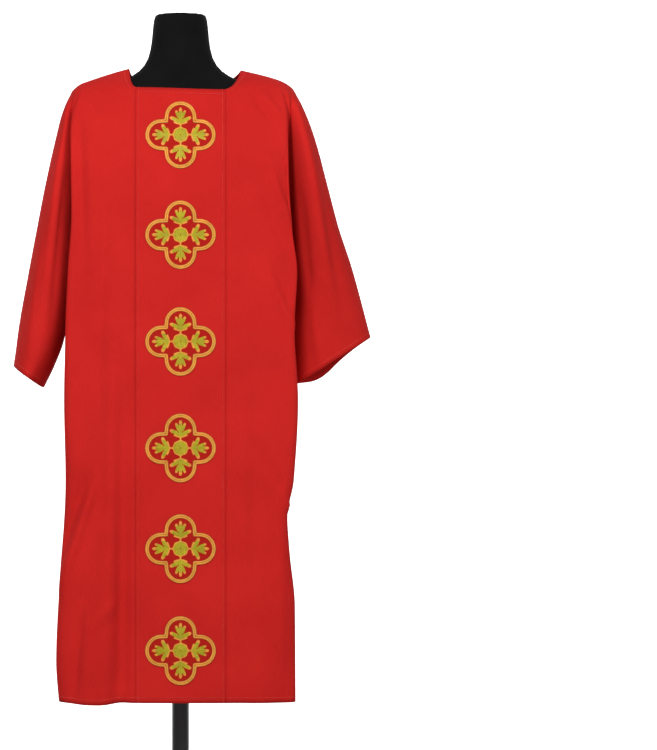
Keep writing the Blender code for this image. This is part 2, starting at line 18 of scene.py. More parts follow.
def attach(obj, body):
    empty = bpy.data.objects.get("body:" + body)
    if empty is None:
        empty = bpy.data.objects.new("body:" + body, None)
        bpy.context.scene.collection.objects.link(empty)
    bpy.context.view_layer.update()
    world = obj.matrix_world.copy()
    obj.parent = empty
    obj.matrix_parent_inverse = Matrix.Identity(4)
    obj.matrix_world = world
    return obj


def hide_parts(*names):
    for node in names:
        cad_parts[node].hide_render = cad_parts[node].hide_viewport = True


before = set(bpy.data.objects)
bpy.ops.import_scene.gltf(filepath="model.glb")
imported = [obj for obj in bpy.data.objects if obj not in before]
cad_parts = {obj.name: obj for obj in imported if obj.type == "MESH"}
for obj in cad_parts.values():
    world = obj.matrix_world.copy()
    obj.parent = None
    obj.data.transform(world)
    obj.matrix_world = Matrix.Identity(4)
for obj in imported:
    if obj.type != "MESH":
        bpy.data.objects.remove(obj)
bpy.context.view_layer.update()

bl_info = {
    "name": "Dalmatic on a Dress Form",
    "version": (1, 0, 0),
    "blender": (4, 5, 0),
    "location": "View3D > Sidebar > Dalmatic",
    "description": "Sews a red dalmatic with embroidered quatrefoils and dresses a black form in it",
    "category": "Add Mesh",
}

LEFT, RIGHT = -1, 1
FRONT, BACK = -1, 1
SIDE_NAMES = {LEFT: "left", RIGHT: "right"}
FACE_NAMES = {FRONT: "front", BACK: "back"}

# Cut and seams
SEAM_GAP = 0.00002
PANEL_HALF_WIDTH = 0.090
NECK_POINT_Z = 1.523
TIP_Z = {LEFT: 1.4737, RIGHT: 1.4780}
NECK_POINT_X = {LEFT: 0.1045, RIGHT: 0.1235}
NECK_CORNER = {LEFT: 0.85, RIGHT: 0.60}  # how squarely each side of the neckline drops to its low corner
NECK_LOW_LEVEL = {FRONT: 1.4335, BACK: 1.4570}
SLOPE_ENDS_Z = 1.30  # where the rows have stopped following the shoulder's slope
UNDERARM_Z = 1.200
PARTING = 0.020  # the height over which the two seams part below the underarm
SPREAD_ENDS_Z = 1.410
FRONT_BOW = 0.10  # share of the depth lost at BOW_REACH from the middle
BOW_REACH = 0.20

# How deep the garment is below its shoulder line, in front and behind.
Depth = namedtuple("Depth", "drop front back")
DEPTHS = (
    Depth(0.000, 0.0000, 0.000),
    Depth(0.002, 0.0135, 0.016),
    Depth(0.008, 0.0300, 0.034),
    Depth(0.018, 0.0480, 0.054),
    Depth(0.045, 0.0720, 0.080),
    Depth(0.100, 0.0980, 0.102),
    Depth(0.200, 0.1220, 0.121),
    Depth(0.300, 0.1320, 0.124),
    Depth(0.450, 0.1380, 0.121),
    Depth(0.700, 0.1460, 0.130),
    Depth(1.000, 0.1550, 0.145),
    Depth(1.300, 0.1620, 0.155),
)

# The garment's outline from the neck over the shoulder and down the overarm seam.
Outline = namedtuple("Outline", "x z")
OUTLINES = {
    LEFT: (
        Outline(0.0900, NECK_POINT_Z),
        Outline(0.1045, 1.5200),
        Outline(0.1790, 1.4975),
        Outline(0.2060, 1.4870),
        Outline(0.2216, TIP_Z[LEFT]),
        Outline(0.2317, 1.4565),
        Outline(0.2470, 1.4070),
        Outline(0.2778, 1.2720),
        Outline(0.3000, 1.1530),
        Outline(0.3180, 1.0610),
        Outline(0.3405, 0.9120),
    ),
    RIGHT: (
        Outline(0.0900, NECK_POINT_Z),
        Outline(0.1235, 1.5165),
        Outline(0.1900, 1.5000),
        Outline(0.2130, 1.4907),
        Outline(0.2304, TIP_Z[RIGHT]),
        Outline(0.2430, 1.4585),
        Outline(0.2540, 1.4310),
        Outline(0.2880, 1.3330),
        Outline(0.3065, 1.2470),
        Outline(0.3387, 1.1470),
        Outline(0.3885, 0.9700),
    ),
}

# The body on each side: its crest, the wall behind the crest where the side seam runs, and how softly it
# turns.
Body = namedtuple("Body", "z crest wall soft")
BODIES = {
    LEFT: (
        Body(1.46, 0.2150, 0.2050, 0.018),
        Body(1.37, 0.2240, 0.2030, 0.018),
        Body(1.22, 0.2220, 0.2020, 0.022),
        Body(1.10, 0.2300, 0.2060, 0.028),
        Body(0.97, 0.2350, 0.2140, 0.034),
        Body(0.84, 0.2355, 0.2260, 0.042),
        Body(0.68, 0.2315, 0.2260, 0.050),
        Body(0.46, 0.2440, 0.2410, 0.055),
        Body(0.32, 0.2500, 0.2460, 0.055),
        Body(0.22, 0.2430, 0.2380, 0.050),
    ),
    RIGHT: (
        Body(1.46, 0.2160, 0.2050, 0.020),
        Body(1.27, 0.2220, 0.2040, 0.024),
        Body(1.18, 0.2290, 0.2060, 0.028),
        Body(1.10, 0.2390, 0.2080, 0.030),
        Body(0.98, 0.2320, 0.2120, 0.034),
        Body(0.84, 0.2385, 0.2240, 0.040),
        Body(0.68, 0.2280, 0.2220, 0.045),
        Body(0.61, 0.2150, 0.2090, 0.045),
        Body(0.54, 0.2190, 0.2140, 0.048),
        Body(0.43, 0.2300, 0.2250, 0.050),
        Body(0.22, 0.2310, 0.2260, 0.045),
    ),
}

# The sleeve: where its underarm and its overarm run, how deep it is in front and behind, how broad its
# rounded edges are, and how much its back sags.
Sleeve = namedtuple("Sleeve", "z under over over_z front back edge sag")
SLEEVES = {
    LEFT: (
        Sleeve(1.4737, 0.2190, 0.2216, 1.4737, 0.010, 0.010, 0.004, 0.000),
        Sleeve(1.4400, 0.2225, 0.2375, 1.4400, 0.052, 0.050, 0.006, 0.000),
        Sleeve(1.3700, 0.2190, 0.2560, 1.3700, 0.076, 0.078, 0.016, 0.000),
        Sleeve(1.2800, 0.2180, 0.2760, 1.2800, 0.096, 0.094, 0.022, 0.000),
        Sleeve(1.2000, 0.2180, 0.2915, 1.2000, 0.104, 0.102, 0.026, 0.000),
        Sleeve(1.1000, 0.2210, 0.3100, 1.1020, 0.110, 0.108, 0.028, 0.000),
        Sleeve(0.9690, 0.2400, 0.3300, 0.9900, 0.110, 0.108, 0.028, 0.000),
        Sleeve(0.9110, 0.2610, 0.3365, 0.9400, 0.111, 0.108, 0.024, 0.000),
        Sleeve(0.8680, 0.2820, 0.3405, 0.9120, 0.112, 0.108, 0.020, 0.000),
    ),
    RIGHT: (
        Sleeve(1.4780, 0.2280, 0.2304, 1.4780, 0.010, 0.010, 0.004, 0.000),
        Sleeve(1.4400, 0.2240, 0.2505, 1.4400, 0.052, 0.052, 0.010, 0.000),
        Sleeve(1.3700, 0.2270, 0.2760, 1.3700, 0.078, 0.078, 0.018, 0.000),
        Sleeve(1.2800, 0.2300, 0.3000, 1.2800, 0.097, 0.092, 0.024, 0.000),
        Sleeve(1.2000, 0.2310, 0.3210, 1.2000, 0.097, 0.090, 0.030, 0.000),
        Sleeve(1.1000, 0.2330, 0.3500, 1.1120, 0.090, 0.082, 0.038, 0.000),
        Sleeve(0.9800, 0.2325, 0.3740, 1.0250, 0.079, 0.070, 0.048, 0.012),
        Sleeve(0.8750, 0.2375, 0.3885, 0.9700, 0.070, 0.060, 0.052, 0.055),
    ),
}

# The back edge of a cuff: how much of its sag shows from the underarm seam across to the overarm seam.
CuffSag = namedtuple("CuffSag", "across share")
CUFF_SAGS = (
    CuffSag(0.00, 0.00),
    CuffSag(0.12, 0.45),
    CuffSag(0.24, 0.62),
    CuffSag(0.33, 0.48),
    CuffSag(0.45, 0.82),
    CuffSag(0.57, 1.00),
    CuffSag(0.68, 0.00),
    CuffSag(1.00, 0.00),
)

# How much of the way from the surface to the seam the trench between body and sleeve reaches.
Trench = namedtuple("Trench", "z share")
TRENCHES = (
    Trench(1.480, 0.00),
    Trench(1.468, 0.05),
    Trench(1.450, 0.18),
    Trench(1.410, 0.35),
    Trench(1.350, 0.53),
    Trench(1.280, 0.71),
    Trench(1.225, 0.90),
    Trench(1.206, 0.965),
    Trench(UNDERARM_Z, 1.00),
)

# The large hanging folds, outwards from the middle: where each starts, is full, ends being full and is over,
# how far it stands out and how much lower it lets the hem hang there, and how high up it starts.
Fold = namedtuple("Fold", "face side start full hold end reach drop top_z")
FOLDS = (
    Fold(FRONT, LEFT, 0.115, 0.165, 0.180, 0.245, 0.016, 0.004, 1.00),
    Fold(FRONT, LEFT, 0.092, 0.118, 0.122, 0.150, -0.008, 0.000, 0.95),
    Fold(FRONT, RIGHT, 0.105, 0.155, 0.165, 0.230, 0.008, 0.000, 0.80),
    Fold(BACK, LEFT, 0.152, 0.178, 0.300, 0.310, 0.026, 0.040, 1.00),
    Fold(BACK, LEFT, 0.100, 0.138, 0.142, 0.168, -0.010, 0.000, 1.05),
    Fold(BACK, RIGHT, 0.148, 0.174, 0.300, 0.310, 0.028, 0.038, 1.05),
    Fold(BACK, RIGHT, 0.095, 0.130, 0.135, 0.162, -0.010, 0.000, 1.05),
)
HEM_Z = {FRONT: 0.238, BACK: 0.262}
SIDE_HEM_Z = 0.232
HEM_FADES_Z = 0.60

# Creases: soft ridges (height above 0) and troughs (below 0) from one end to the other, in (x, z) on the face
# that they lie on, with x from the middle outwards, and how wide each is.
Crease = namedtuple("Crease", "x1 z1 x2 z2 width height")
CREASES = {
    (FRONT, LEFT, "body"): (
        Crease(0.168, 0.690, 0.242, 0.455, 0.0085, 0.0097),
        Crease(0.190, 0.690, 0.240, 0.540, 0.0140, -0.0085),
        Crease(0.136, 0.985, 0.142, 0.300, 0.0150, 0.0073),
        Crease(0.108, 0.900, 0.112, 0.260, 0.0120, -0.0039),
        Crease(0.205, 1.420, 0.196, 1.150, 0.0100, -0.0043),
        Crease(0.180, 1.400, 0.172, 1.050, 0.0130, 0.0039),
        Crease(0.150, 1.250, 0.166, 0.860, 0.0120, -0.0034),
        Crease(0.198, 0.420, 0.214, 0.250, 0.0100, -0.0063),
        Crease(0.132, 0.444, 0.182, 0.378, 0.0090, 0.0049),
        Crease(0.089, 0.272, 0.128, 0.251, 0.0070, 0.0032),
        Crease(0.150, 0.560, 0.204, 0.420, 0.0100, -0.0046),
    ),
    (FRONT, RIGHT, "body"): (
        Crease(0.1466, 1.456, 0.1896, 1.401, 0.0060, -0.0054),
        Crease(0.165, 1.462, 0.205, 1.415, 0.0070, 0.0043),
        Crease(0.177, 1.344, 0.216, 1.313, 0.0060, -0.0049),
        Crease(0.1835, 1.299, 0.2245, 1.190, 0.0075, 0.0073),
        Crease(0.160, 1.270, 0.206, 1.150, 0.0090, -0.0049),
        Crease(0.165, 1.120, 0.2286, 0.983, 0.0085, 0.0063),
        Crease(0.186, 1.110, 0.224, 1.030, 0.0080, -0.0049),
        Crease(0.200, 0.671, 0.216, 0.616, 0.0060, 0.0073),
        Crease(0.150, 0.760, 0.212, 0.640, 0.0090, -0.0054),
        Crease(0.128, 0.900, 0.124, 0.320, 0.0130, 0.0043),
        Crease(0.196, 0.580, 0.200, 0.270, 0.0140, 0.0063),
        Crease(0.214, 1.370, 0.224, 1.010, 0.0180, -0.0065),
    ),
    (FRONT, LEFT, "panel"): (
        Crease(0.072, 0.900, 0.070, 0.240, 0.0100, 0.0019),
    ),
    (FRONT, RIGHT, "panel"): (
        Crease(0.074, 0.760, 0.078, 0.240, 0.0110, 0.0019),
    ),
    (BACK, LEFT, "body"): (
        Crease(0.152, 1.380, 0.156, 0.560, 0.0100, 0.0063),
        Crease(0.186, 1.300, 0.196, 0.800, 0.0120, -0.0049),
        Crease(0.118, 1.150, 0.120, 0.330, 0.0110, 0.0034),
        Crease(0.204, 0.760, 0.214, 0.260, 0.0120, 0.0058),
        Crease(0.150, 1.452, 0.196, 1.390, 0.0070, -0.0049),
    ),
    (BACK, RIGHT, "body"): (
        Crease(0.128, 1.360, 0.134, 0.540, 0.0100, 0.0058),
        Crease(0.170, 1.400, 0.186, 0.780, 0.0120, -0.0054),
        Crease(0.104, 1.000, 0.106, 0.330, 0.0100, 0.0034),
        Crease(0.204, 0.700, 0.204, 0.250, 0.0130, 0.0063),
        Crease(0.162, 1.452, 0.206, 1.402, 0.0070, 0.0049),
    ),
    (FRONT, LEFT, "sleeve"): (
        Crease(0.240, 1.380, 0.276, 1.020, 0.0075, 0.0049),
        Crease(0.232, 1.300, 0.262, 0.990, 0.0070, -0.0043),
        Crease(0.276, 1.180, 0.306, 0.930, 0.0080, 0.0039),
    ),
    (FRONT, RIGHT, "sleeve"): (
        Crease(0.252, 1.390, 0.300, 1.080, 0.0090, 0.0054),
        Crease(0.244, 1.260, 0.266, 1.020, 0.0085, -0.0054),
        Crease(0.290, 1.240, 0.334, 1.000, 0.0100, -0.0039),
        Crease(0.262, 1.080, 0.286, 0.900, 0.0090, 0.0058),
    ),
    (BACK, LEFT, "sleeve"): (
        Crease(0.238, 1.370, 0.270, 1.050, 0.0080, 0.0054),
        Crease(0.262, 1.240, 0.300, 0.960, 0.0080, -0.0043),
    ),
    (BACK, RIGHT, "sleeve"): (
        Crease(0.250, 1.380, 0.290, 1.060, 0.0090, 0.0054),
        Crease(0.280, 1.260, 0.330, 0.990, 0.0100, -0.0043),
    ),
}

# How finely the cloth is meshed
UPPER_ROWS = 52
BODY_ROWS = 104
SLEEVE_ROWS = 38
PARTING_ROWS = 6  # of these, the rows over which the seams part
PANEL_ROWS = 150
BODY_COLUMNS = 62
SLEEVE_COLUMNS = 34
PANEL_COLUMNS = 30

# The rows below a join, and the columns at a row's two ends, over which the creases run out
KEPT_ROWS = 10
BODY_KEPT, SLEEVE_KEPT = (4, 6), (3, 6)

# The cloth, its seams and its turnings
CLOTH = 0.0012
SEAM_GROOVE = 0.00025  # how far the panel's edge sinks beside its seam
GROOVE_WIDTH = 0.0010
FLAT_BESIDE_SEAM = 0.008  # the strip where the panel's creases run out
ALLOWANCE = 0.0036  # how far the panel's turning reaches behind the side pieces
TURNING_DROP = CLOTH + 0.0002  # how far behind them the turning lies
TURNING_BEND = 0.0012  # the width over which it drops
SEAM_COLUMNS = (ALLOWANCE, 0.0020, 0.0010, 0.0, -0.0005, -0.0010, -0.0016)  # how far past the seam each is
PANEL_CURVE = 0.012  # how much longer the chest's curve makes a panel than it is high

# Stitches: how long each is, the gap to the next, the thread's radius and how far it arches
Stitch = namedtuple("Stitch", "length gap radius arch")
TURNING_STITCH = Stitch(0.0028, 0.0008, 0.00024, 0.0002)
SEAM_STITCH = Stitch(0.0026, 0.0007, 0.00024, 0.0002)
EDGE_ROWS = 24  # how many rows from an edge its stitches may lie

# The quatrefoils: their shape, and their layers from the panel out
MOTIF_LIFT = 0.0001
MOTIF_LOBE_RADIUS = 0.0315
MOTIF_NOTCH = (0.0325, 0.0320)
GROUND_THICKNESS = 0.0004
PAD_SINK, PAD_HEIGHT = 0.0001, 0.0005  # how far the padding is sunk in the ground, and how high it is
THREAD_PITCH, THREAD_RADIUS, THREAD_ARCH = 0.00078, 0.00040, 0.0006
SHORTEST_THREAD = 0.0006
ROW_WIDTH = 0.44  # one of the band's two rows of satin, as a share of the band
ROW_INSET = 0.56  # how far its middle is from the band's edge, as a share of the row
# Thin dark threads along the band's two edges and between its two rows are painted shadow lines.
ShadowLine = namedtuple("ShadowLine", "across radius")  # how far across the band a thin dark line of painted shadow runs, and its radius
SHADOW_LINES = (ShadowLine(0.0, 0.00042), ShadowLine(0.5, 0.0003), ShadowLine(1.0, 0.00042))
SHADOW_LINE_STEP, SHADOW_LINE_ARCH = 0.0035, 0.00005

# The heights of the quatrefoils' middles
MOTIF_HEIGHTS = {
    FRONT: (1.376, 1.174, 0.960, 0.747, 0.546, 0.343),
    BACK: (1.397, 1.192, 0.979, 0.767, 0.567, 0.365),
}


# --- the garment's form


def eased(table, key, column, at):
    """A column of a table at any value of its key, on a smooth curve that never overshoots the rows."""
    rows = sorted(table, key=lambda row: getattr(row, key))
    known = np.array([getattr(row, key) for row in rows])
    values = np.array([getattr(row, column) for row in rows])
    step = np.diff(known)
    slope = np.diff(values) / step
    tangent = np.concatenate([slope[:1], np.zeros(len(rows) - 2), slope[-1:]])
    same_way = slope[:-1] * slope[1:] > 0
    total = np.where(same_way, slope[:-1] + slope[1:], 1.0)
    tangent[1:-1] = np.where(same_way, 2 * slope[:-1] * slope[1:] / total, 0.0)
    at = np.clip(at, known[0], known[-1])
    i = np.clip(np.searchsorted(known, at) - 1, 0, len(step) - 1)
    t = (at - known[i]) / step[i]
    start = values[i] * (1 + 2 * t) * (1 - t) ** 2 + tangent[i] * step[i] * t * (1 - t) ** 2
    end = values[i + 1] * t * t * (3 - 2 * t) + tangent[i + 1] * step[i] * t * t * (t - 1)
    return start + end


def smooth_step(t):
    t = np.clip(t, 0.0, 1.0)
    return t * t * (3 - 2 * t)


def spline(controls, count):
    """Points along the curve that joins the first and last controls and touches each leg at its middle."""
    controls = np.array(controls, float)
    pieces = len(controls) - 2
    t = np.linspace(0.0, pieces, count)
    piece = np.minimum(t.astype(int), pieces - 1)
    t = (t - piece)[:, None]
    before, corner, after = controls[piece], controls[piece + 1], controls[piece + 2]
    start = np.where(piece[:, None] == 0, before, (before + corner) / 2)
    end = np.where(piece[:, None] == pieces - 1, after, (corner + after) / 2)
    return start * (1 - t) ** 2 + 2 * corner * t * (1 - t) + end * t * t


def shoulder_z(side, x):
    return eased(OUTLINES[side], "x", "z", x)


def level_z(side, x, level):
    """The height at x of the row whose height is level at the trench: high rows follow the shoulder."""
    follow = smooth_step((level - SLOPE_ENDS_Z) / (TIP_Z[side] - SLOPE_ENDS_Z))
    return level + np.maximum(shoulder_z(side, x) - TIP_Z[side], 0.0) * follow


ROOT_DEPTHS = tuple(Depth(math.sqrt(row.drop), row.front, row.back) for row in DEPTHS)


def depth_at(face, side, x, z):
    """How far the body's front or back lies from the shoulder's plane."""
    drop = np.maximum(shoulder_z(side, x) - z, 0.0)
    depth = eased(ROOT_DEPTHS, "drop", FACE_NAMES[face], np.sqrt(drop))
    return depth * (1 - FRONT_BOW * (x / BOW_REACH) ** 2)


def fold_shape(fold, face, side, x, z):
    """A fold's share at a place: it fades in below its top and across its flanks."""
    if (fold.face, fold.side) != (face, side):
        return np.zeros_like(x)
    down = smooth_step((fold.top_z - z) / (fold.top_z - HEM_Z[face]))
    rise = smooth_step((x - fold.start) / (fold.full - fold.start))
    fall = smooth_step((fold.end - x) / (fold.end - fold.hold))
    return down * rise * fall


def fold_relief(face, side, x, z):
    return sum(fold.reach * fold_shape(fold, face, side, x, z) for fold in FOLDS)


def hem_drop(face, side, x, z, forward):
    """How much lower the cloth hangs near the hem: in the folds, and evened out towards the side seam."""
    near_hem = smooth_step((HEM_FADES_Z - z) / (HEM_FADES_Z - HEM_Z[face]))
    folds = sum(fold.drop * fold_shape(fold, face, side, x, z) for fold in FOLDS)
    return near_hem * (forward * folds + (1 - forward) * (HEM_Z[face] - SIDE_HEM_Z))


def folded(face, side, points, front_depth):
    """The body's points moved out and down by the folds, which have run out at the side seam."""
    x, y, z = np.array(points).T
    forward = smooth_step(y / front_depth / 0.6)
    y = y + forward * fold_relief(face, side, x, z)
    return np.stack([x, y, z - hem_drop(face, side, x, z, forward)], axis=1)


def neck_edge(side, face, level):
    """The neckline's side, from the shoulder seam down to the top of the centre panel's seam."""
    share = ((TIP_Z[side] - level) / (TIP_Z[side] - NECK_LOW_LEVEL[face])) ** 0.6
    seam_x = PANEL_HALF_WIDTH + SEAM_GAP / 2
    low_z = level_z(side, seam_x, NECK_LOW_LEVEL[face])
    low = np.array([seam_x, depth_at(face, side, seam_x, low_z), low_z])
    high = np.array([NECK_POINT_X[side], SEAM_GAP / 2, shoulder_z(side, NECK_POINT_X[side])])
    corner = np.array([seam_x + NECK_CORNER[side] * (high[0] - seam_x), 0.97 * low[1], low[2] + 0.001])
    return high * (1 - share) ** 2 + 2 * corner * share * (1 - share) + low * share**2


def trench_share(level):
    """How far the trench reaches towards the seam at a row: all the way from the underarm down."""
    return float(eased(TRENCHES, "z", "share", level)) if level > UNDERARM_Z else 1.0


def wall_x(side, level):
    """Where the body's wall stands behind its crest: a shallow trench isn't undercut yet."""
    crest, wall = eased(BODIES[side], "z", "crest", level), eased(BODIES[side], "z", "wall", level)
    undercut = smooth_step((trench_share(level) - 0.25) / 0.35)
    return crest - (crest - wall) * undercut


def parted_at(level):
    """How far apart the side seam and the sleeve's underarm seam are, from 0 at the underarm to 1."""
    return math.sqrt(min((UNDERARM_Z - level) / PARTING, 1.0)) if level < UNDERARM_Z else 0.0


def body_controls(side, face, level):
    """The controls of a row of the body, from the centre panel's seam to the trench or the side seam."""
    table = BODIES[side]
    crest, wall = eased(table, "z", "crest", level), wall_x(side, level)
    soft = eased(table, "z", "soft", level)
    under = eased(SLEEVES[side], "z", "under", level)
    seam_x = PANEL_HALF_WIDTH + SEAM_GAP / 2
    if level > NECK_LOW_LEVEL[face]:
        points = [neck_edge(side, face, level)]
    else:
        z = level_z(side, seam_x, level)
        points = [np.array([seam_x, depth_at(face, side, seam_x, z), z])]
    inner_x = points[0][0]
    for share in (0.45, 1.0):
        x = inner_x + (crest - soft - inner_x) * share
        z = level_z(side, x, level)
        points.append(np.array([x, depth_at(face, side, x, z), z]))
    depth = points[-1][1]
    bottom = max(depth * (1 - trench_share(level)), SEAM_GAP / 2)
    z = level_z(side, crest, level)
    points.append(np.array([crest, max(0.985 * depth, bottom), z]))
    points.append(np.array([crest - 0.5 * (crest - wall), max(depth - soft, bottom), z]))
    points.append(np.array([wall, bottom + 0.5 * max(depth - soft - bottom, 0.0), z]))
    points.append(np.array([wall, bottom, z]))
    middle = (wall + under) / 2
    points.append(np.array([middle + (wall - middle) * parted_at(level), bottom, z]))
    return points


def sleeve_controls(side, face, level):
    """The controls of a row of the sleeve, from the trench or the underarm seam to the overarm seam."""
    table = SLEEVES[side]
    under, over = eased(table, "z", "under", level), eased(table, "z", "over", level)
    over_z = level if level >= UNDERARM_Z else eased(table, "z", "over_z", level)
    depth = eased(table, "z", FACE_NAMES[face], level)
    edge, sag = eased(table, "z", "edge", level), eased(table, "z", "sag", level)
    bottom = max(depth * (1 - trench_share(level)), SEAM_GAP / 2)
    middle = (wall_x(side, level) + under) / 2
    outline = (
        (middle + (under - middle) * parted_at(level), bottom),
        (under, bottom),
        (under, bottom + 0.45 * (depth - bottom)),
        (under + edge, depth),
        (over - edge, 0.96 * depth),
        (over, 0.45 * depth),
        (over, SEAM_GAP / 2),
    )
    points = []
    for x, y in outline:
        across = (x - under) / (over - under)
        z = level + (over_z - level) * across
        if face == BACK:
            z -= sag * eased(CUFF_SAGS, "across", "share", across) * min(y / depth, 1.0)
        points.append(np.array([x, y, z]))
    return points


def spread_out(side, level, body, sleeve):
    """Near the shoulder seam the trench has run out, so its controls lie evenly on the shoulder."""
    tucked = smooth_step((TIP_Z[side] - level) / (TIP_Z[side] - SPREAD_ENDS_Z))
    if tucked >= 1.0:
        return body, sleeve
    start, end = body[2], sleeve[-1]
    loose = body[3:] + sleeve[1:-1]
    for i, point in enumerate(loose):
        share = (i + 1) / (len(loose) + 1)
        x = start[0] + (end[0] - start[0]) * share
        z = level_z(side, x, level)
        drop_share = math.sqrt(max(1 - share**2.5, 0.0))
        even = np.array([x, SEAM_GAP / 2 + (start[1] - SEAM_GAP / 2) * drop_share, z])
        loose[i] = even + (point - even) * tucked
    body = body[:3] + loose[: len(body) - 3]
    sleeve = [body[-1]] + loose[len(body) - 3 :] + [end]
    return body, sleeve


def upper_levels(side):
    """The rows from the shoulder's tip to the underarm, closest together near the shoulder seam."""
    share = np.linspace(0.0, 1.0, UPPER_ROWS + 1)[1:]
    return TIP_Z[side] - (TIP_Z[side] - UNDERARM_Z) * share**1.8


def lower_levels(end, rows):
    """The rows from the underarm down to end: closest together where the seams part."""
    near = UNDERARM_Z - PARTING * np.linspace(0, 1, PARTING_ROWS + 1)[1:] ** 1.6
    return np.concatenate([near, np.linspace(near[-1], end, rows - PARTING_ROWS + 1)[1:]])


def shoulder_row(side):
    count = BODY_COLUMNS + SLEEVE_COLUMNS - 1
    tip_x = eased(OUTLINES[side][4:], "z", "x", TIP_Z[side])
    xs = np.linspace(NECK_POINT_X[side], tip_x, count)
    return np.stack([xs, np.full(count, SEAM_GAP / 2), shoulder_z(side, xs)], axis=1)


# --- creases


def crease_lift(face, side, part, x, z):
    """How far the creases of one part lift the cloth at (x, z)."""
    lift = np.zeros_like(x)
    for crease in CREASES.get((face, side, part), ()):
        along = np.array([crease.x2 - crease.x1, crease.z2 - crease.z1])
        length = math.hypot(*along)
        t = ((x - crease.x1) * along[0] + (z - crease.z1) * along[1]) / length**2
        near_x = crease.x1 + along[0] * np.clip(t, 0, 1)
        near_z = crease.z1 + along[1] * np.clip(t, 0, 1)
        away = np.hypot(x - near_x, z - near_z)
        taper = smooth_step((t + 0.15) / 0.45) * smooth_step((1.15 - t) / 0.45)
        lift += crease.height * taper * np.exp(-((away / crease.width) ** 2))
    return lift


def slow_waves(face, side, along, z):
    """Very slight, uneven waves that keep a large plain surface from looking machined."""
    phase = 1.7 * face + 0.9 * side
    broad = np.sin(along * 34 + phase + 1.6 * np.sin(z * 3.1 + phase))
    fine = np.sin(along * 71 - 2.0 * phase + 1.1 * np.sin(z * 5.3 - phase))
    fade = smooth_step((1.46 - z) / 0.25)
    return fade * (0.0010 * broad + 0.0004 * fine * smooth_step((1.0 - z) / 0.5))


# --- meshes


def grid_normals(grid):
    """Unit normals of a grid of points, rows by columns."""
    across = np.gradient(grid, axis=1)
    down = np.gradient(grid, axis=0)
    normals = np.cross(across, down)
    return normals / np.maximum(np.linalg.norm(normals, axis=2, keepdims=True), 1e-12)


def grid_lengths(grid):
    """How far each point lies along its row, and down the grid, in metres."""
    across = np.linalg.norm(np.diff(grid, axis=1), axis=2)
    along = np.concatenate([np.zeros((len(grid), 1)), np.cumsum(across, axis=1)], axis=1)
    down = np.linalg.norm(np.diff(grid, axis=0), axis=2).mean(axis=1)
    return along, np.concatenate([[0.0], np.cumsum(down)])


def grid_quads(rows, columns):
    """The faces of a grid of points, each as the numbers of its four corners."""
    index = np.arange(rows * columns).reshape(rows, columns)
    corners = (index[:-1, :-1], index[:-1, 1:], index[1:, 1:], index[1:, :-1])
    return np.stack([corner.ravel() for corner in corners], axis=1)


def outward_mesh(name, points, faces, face, finish):
    """A mesh on the front or the back whose faces point out of the garment."""
    data = bpy.data.meshes.new(name)
    data.from_pydata(points.tolist(), [], faces)
    data.update()
    if sum(item.normal.y * item.area for item in data.polygons) * face < 0:
        data.flip_normals()
    data.materials.append(finish)
    return data


class Cloth:
    """A cloth piece made of grids of points that share their edges."""

    def __init__(self):
        self.points, self.uvs, self.faces, self.count = [], [], [], 0

    def add_grid(self, grid, uv, flip):
        rows, columns = grid.shape[:2]
        quads = self.count + grid_quads(rows, columns)
        self.faces.append(quads[:, ::-1] if flip else quads)
        self.points.append(grid.reshape(-1, 3))
        self.uvs.append(uv.reshape(-1, 2))
        self.count += rows * columns

    def mesh(self, name):
        data = bpy.data.meshes.new(name)
        points, uvs = np.concatenate(self.points), np.concatenate(self.uvs)
        faces = np.concatenate(self.faces)
        data.from_pydata(points.tolist(), [], faces.tolist())
        layer = data.uv_layers.new(name="Cut")
        layer.uv.foreach_set("vector", uvs[faces.ravel()].astype(np.float32).ravel())
        shape = bmesh.new()
        shape.from_mesh(data)
        bmesh.ops.remove_doubles(shape, verts=shape.verts[:], dist=2e-6)
        shape.to_mesh(data)
        shape.free()
        data.shade_smooth()
        return data


def collection_for(context):
    name = "Dalmatic"
    if name not in bpy.data.collections:
        made = bpy.data.collections.new(name)
        context.scene.collection.children.link(made)
    return bpy.data.collections[name]


def add_piece(context, name, data, materials, replaced=()):
    """Links a finished mesh, lets it ride on the one body and hides the parts that it replaces."""
    made = bpy.data.objects.new(name, data)
    for finish in materials:
        made.data.materials.append(finish)
    collection_for(context).objects.link(made)
    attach(made, "root")
    if replaced:
        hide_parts(*replaced)
    return made


def add_wall(made):
    """Gives a cloth piece its thickness, on its outside."""
    wall = made.modifiers.new("Wall", "SOLIDIFY")
    wall.thickness = CLOTH
    wall.offset = 1.0
    wall.use_even_offset = False


def placed(grid, side, face):
    return grid * np.array([side, face, 1.0])


def side_grids(side, face):
    """The three grids of a side piece in its own quarter: above the underarm, the body and the sleeve."""
    upper = [shoulder_row(side)]
    for level in upper_levels(side):
        body, sleeve = body_controls(side, face, level), sleeve_controls(side, face, level)
        body, sleeve = spread_out(side, level, body, sleeve)
        upper.append(np.concatenate([spline(body, BODY_COLUMNS), spline(sleeve, SLEEVE_COLUMNS)[1:]]))
    body_rows = [upper[-1][:BODY_COLUMNS]]
    for level in lower_levels(HEM_Z[face], BODY_ROWS):
        controls = body_controls(side, face, level)
        body_rows.append(folded(face, side, spline(controls, BODY_COLUMNS), controls[2][1]))
    sleeve_rows = [upper[-1][BODY_COLUMNS - 1 :]]
    for level in lower_levels(min(row.z for row in SLEEVES[side]), SLEEVE_ROWS):
        sleeve_rows.append(spline(sleeve_controls(side, face, level), SLEEVE_COLUMNS))
    return np.array(upper), np.array(body_rows), np.array(sleeve_rows)


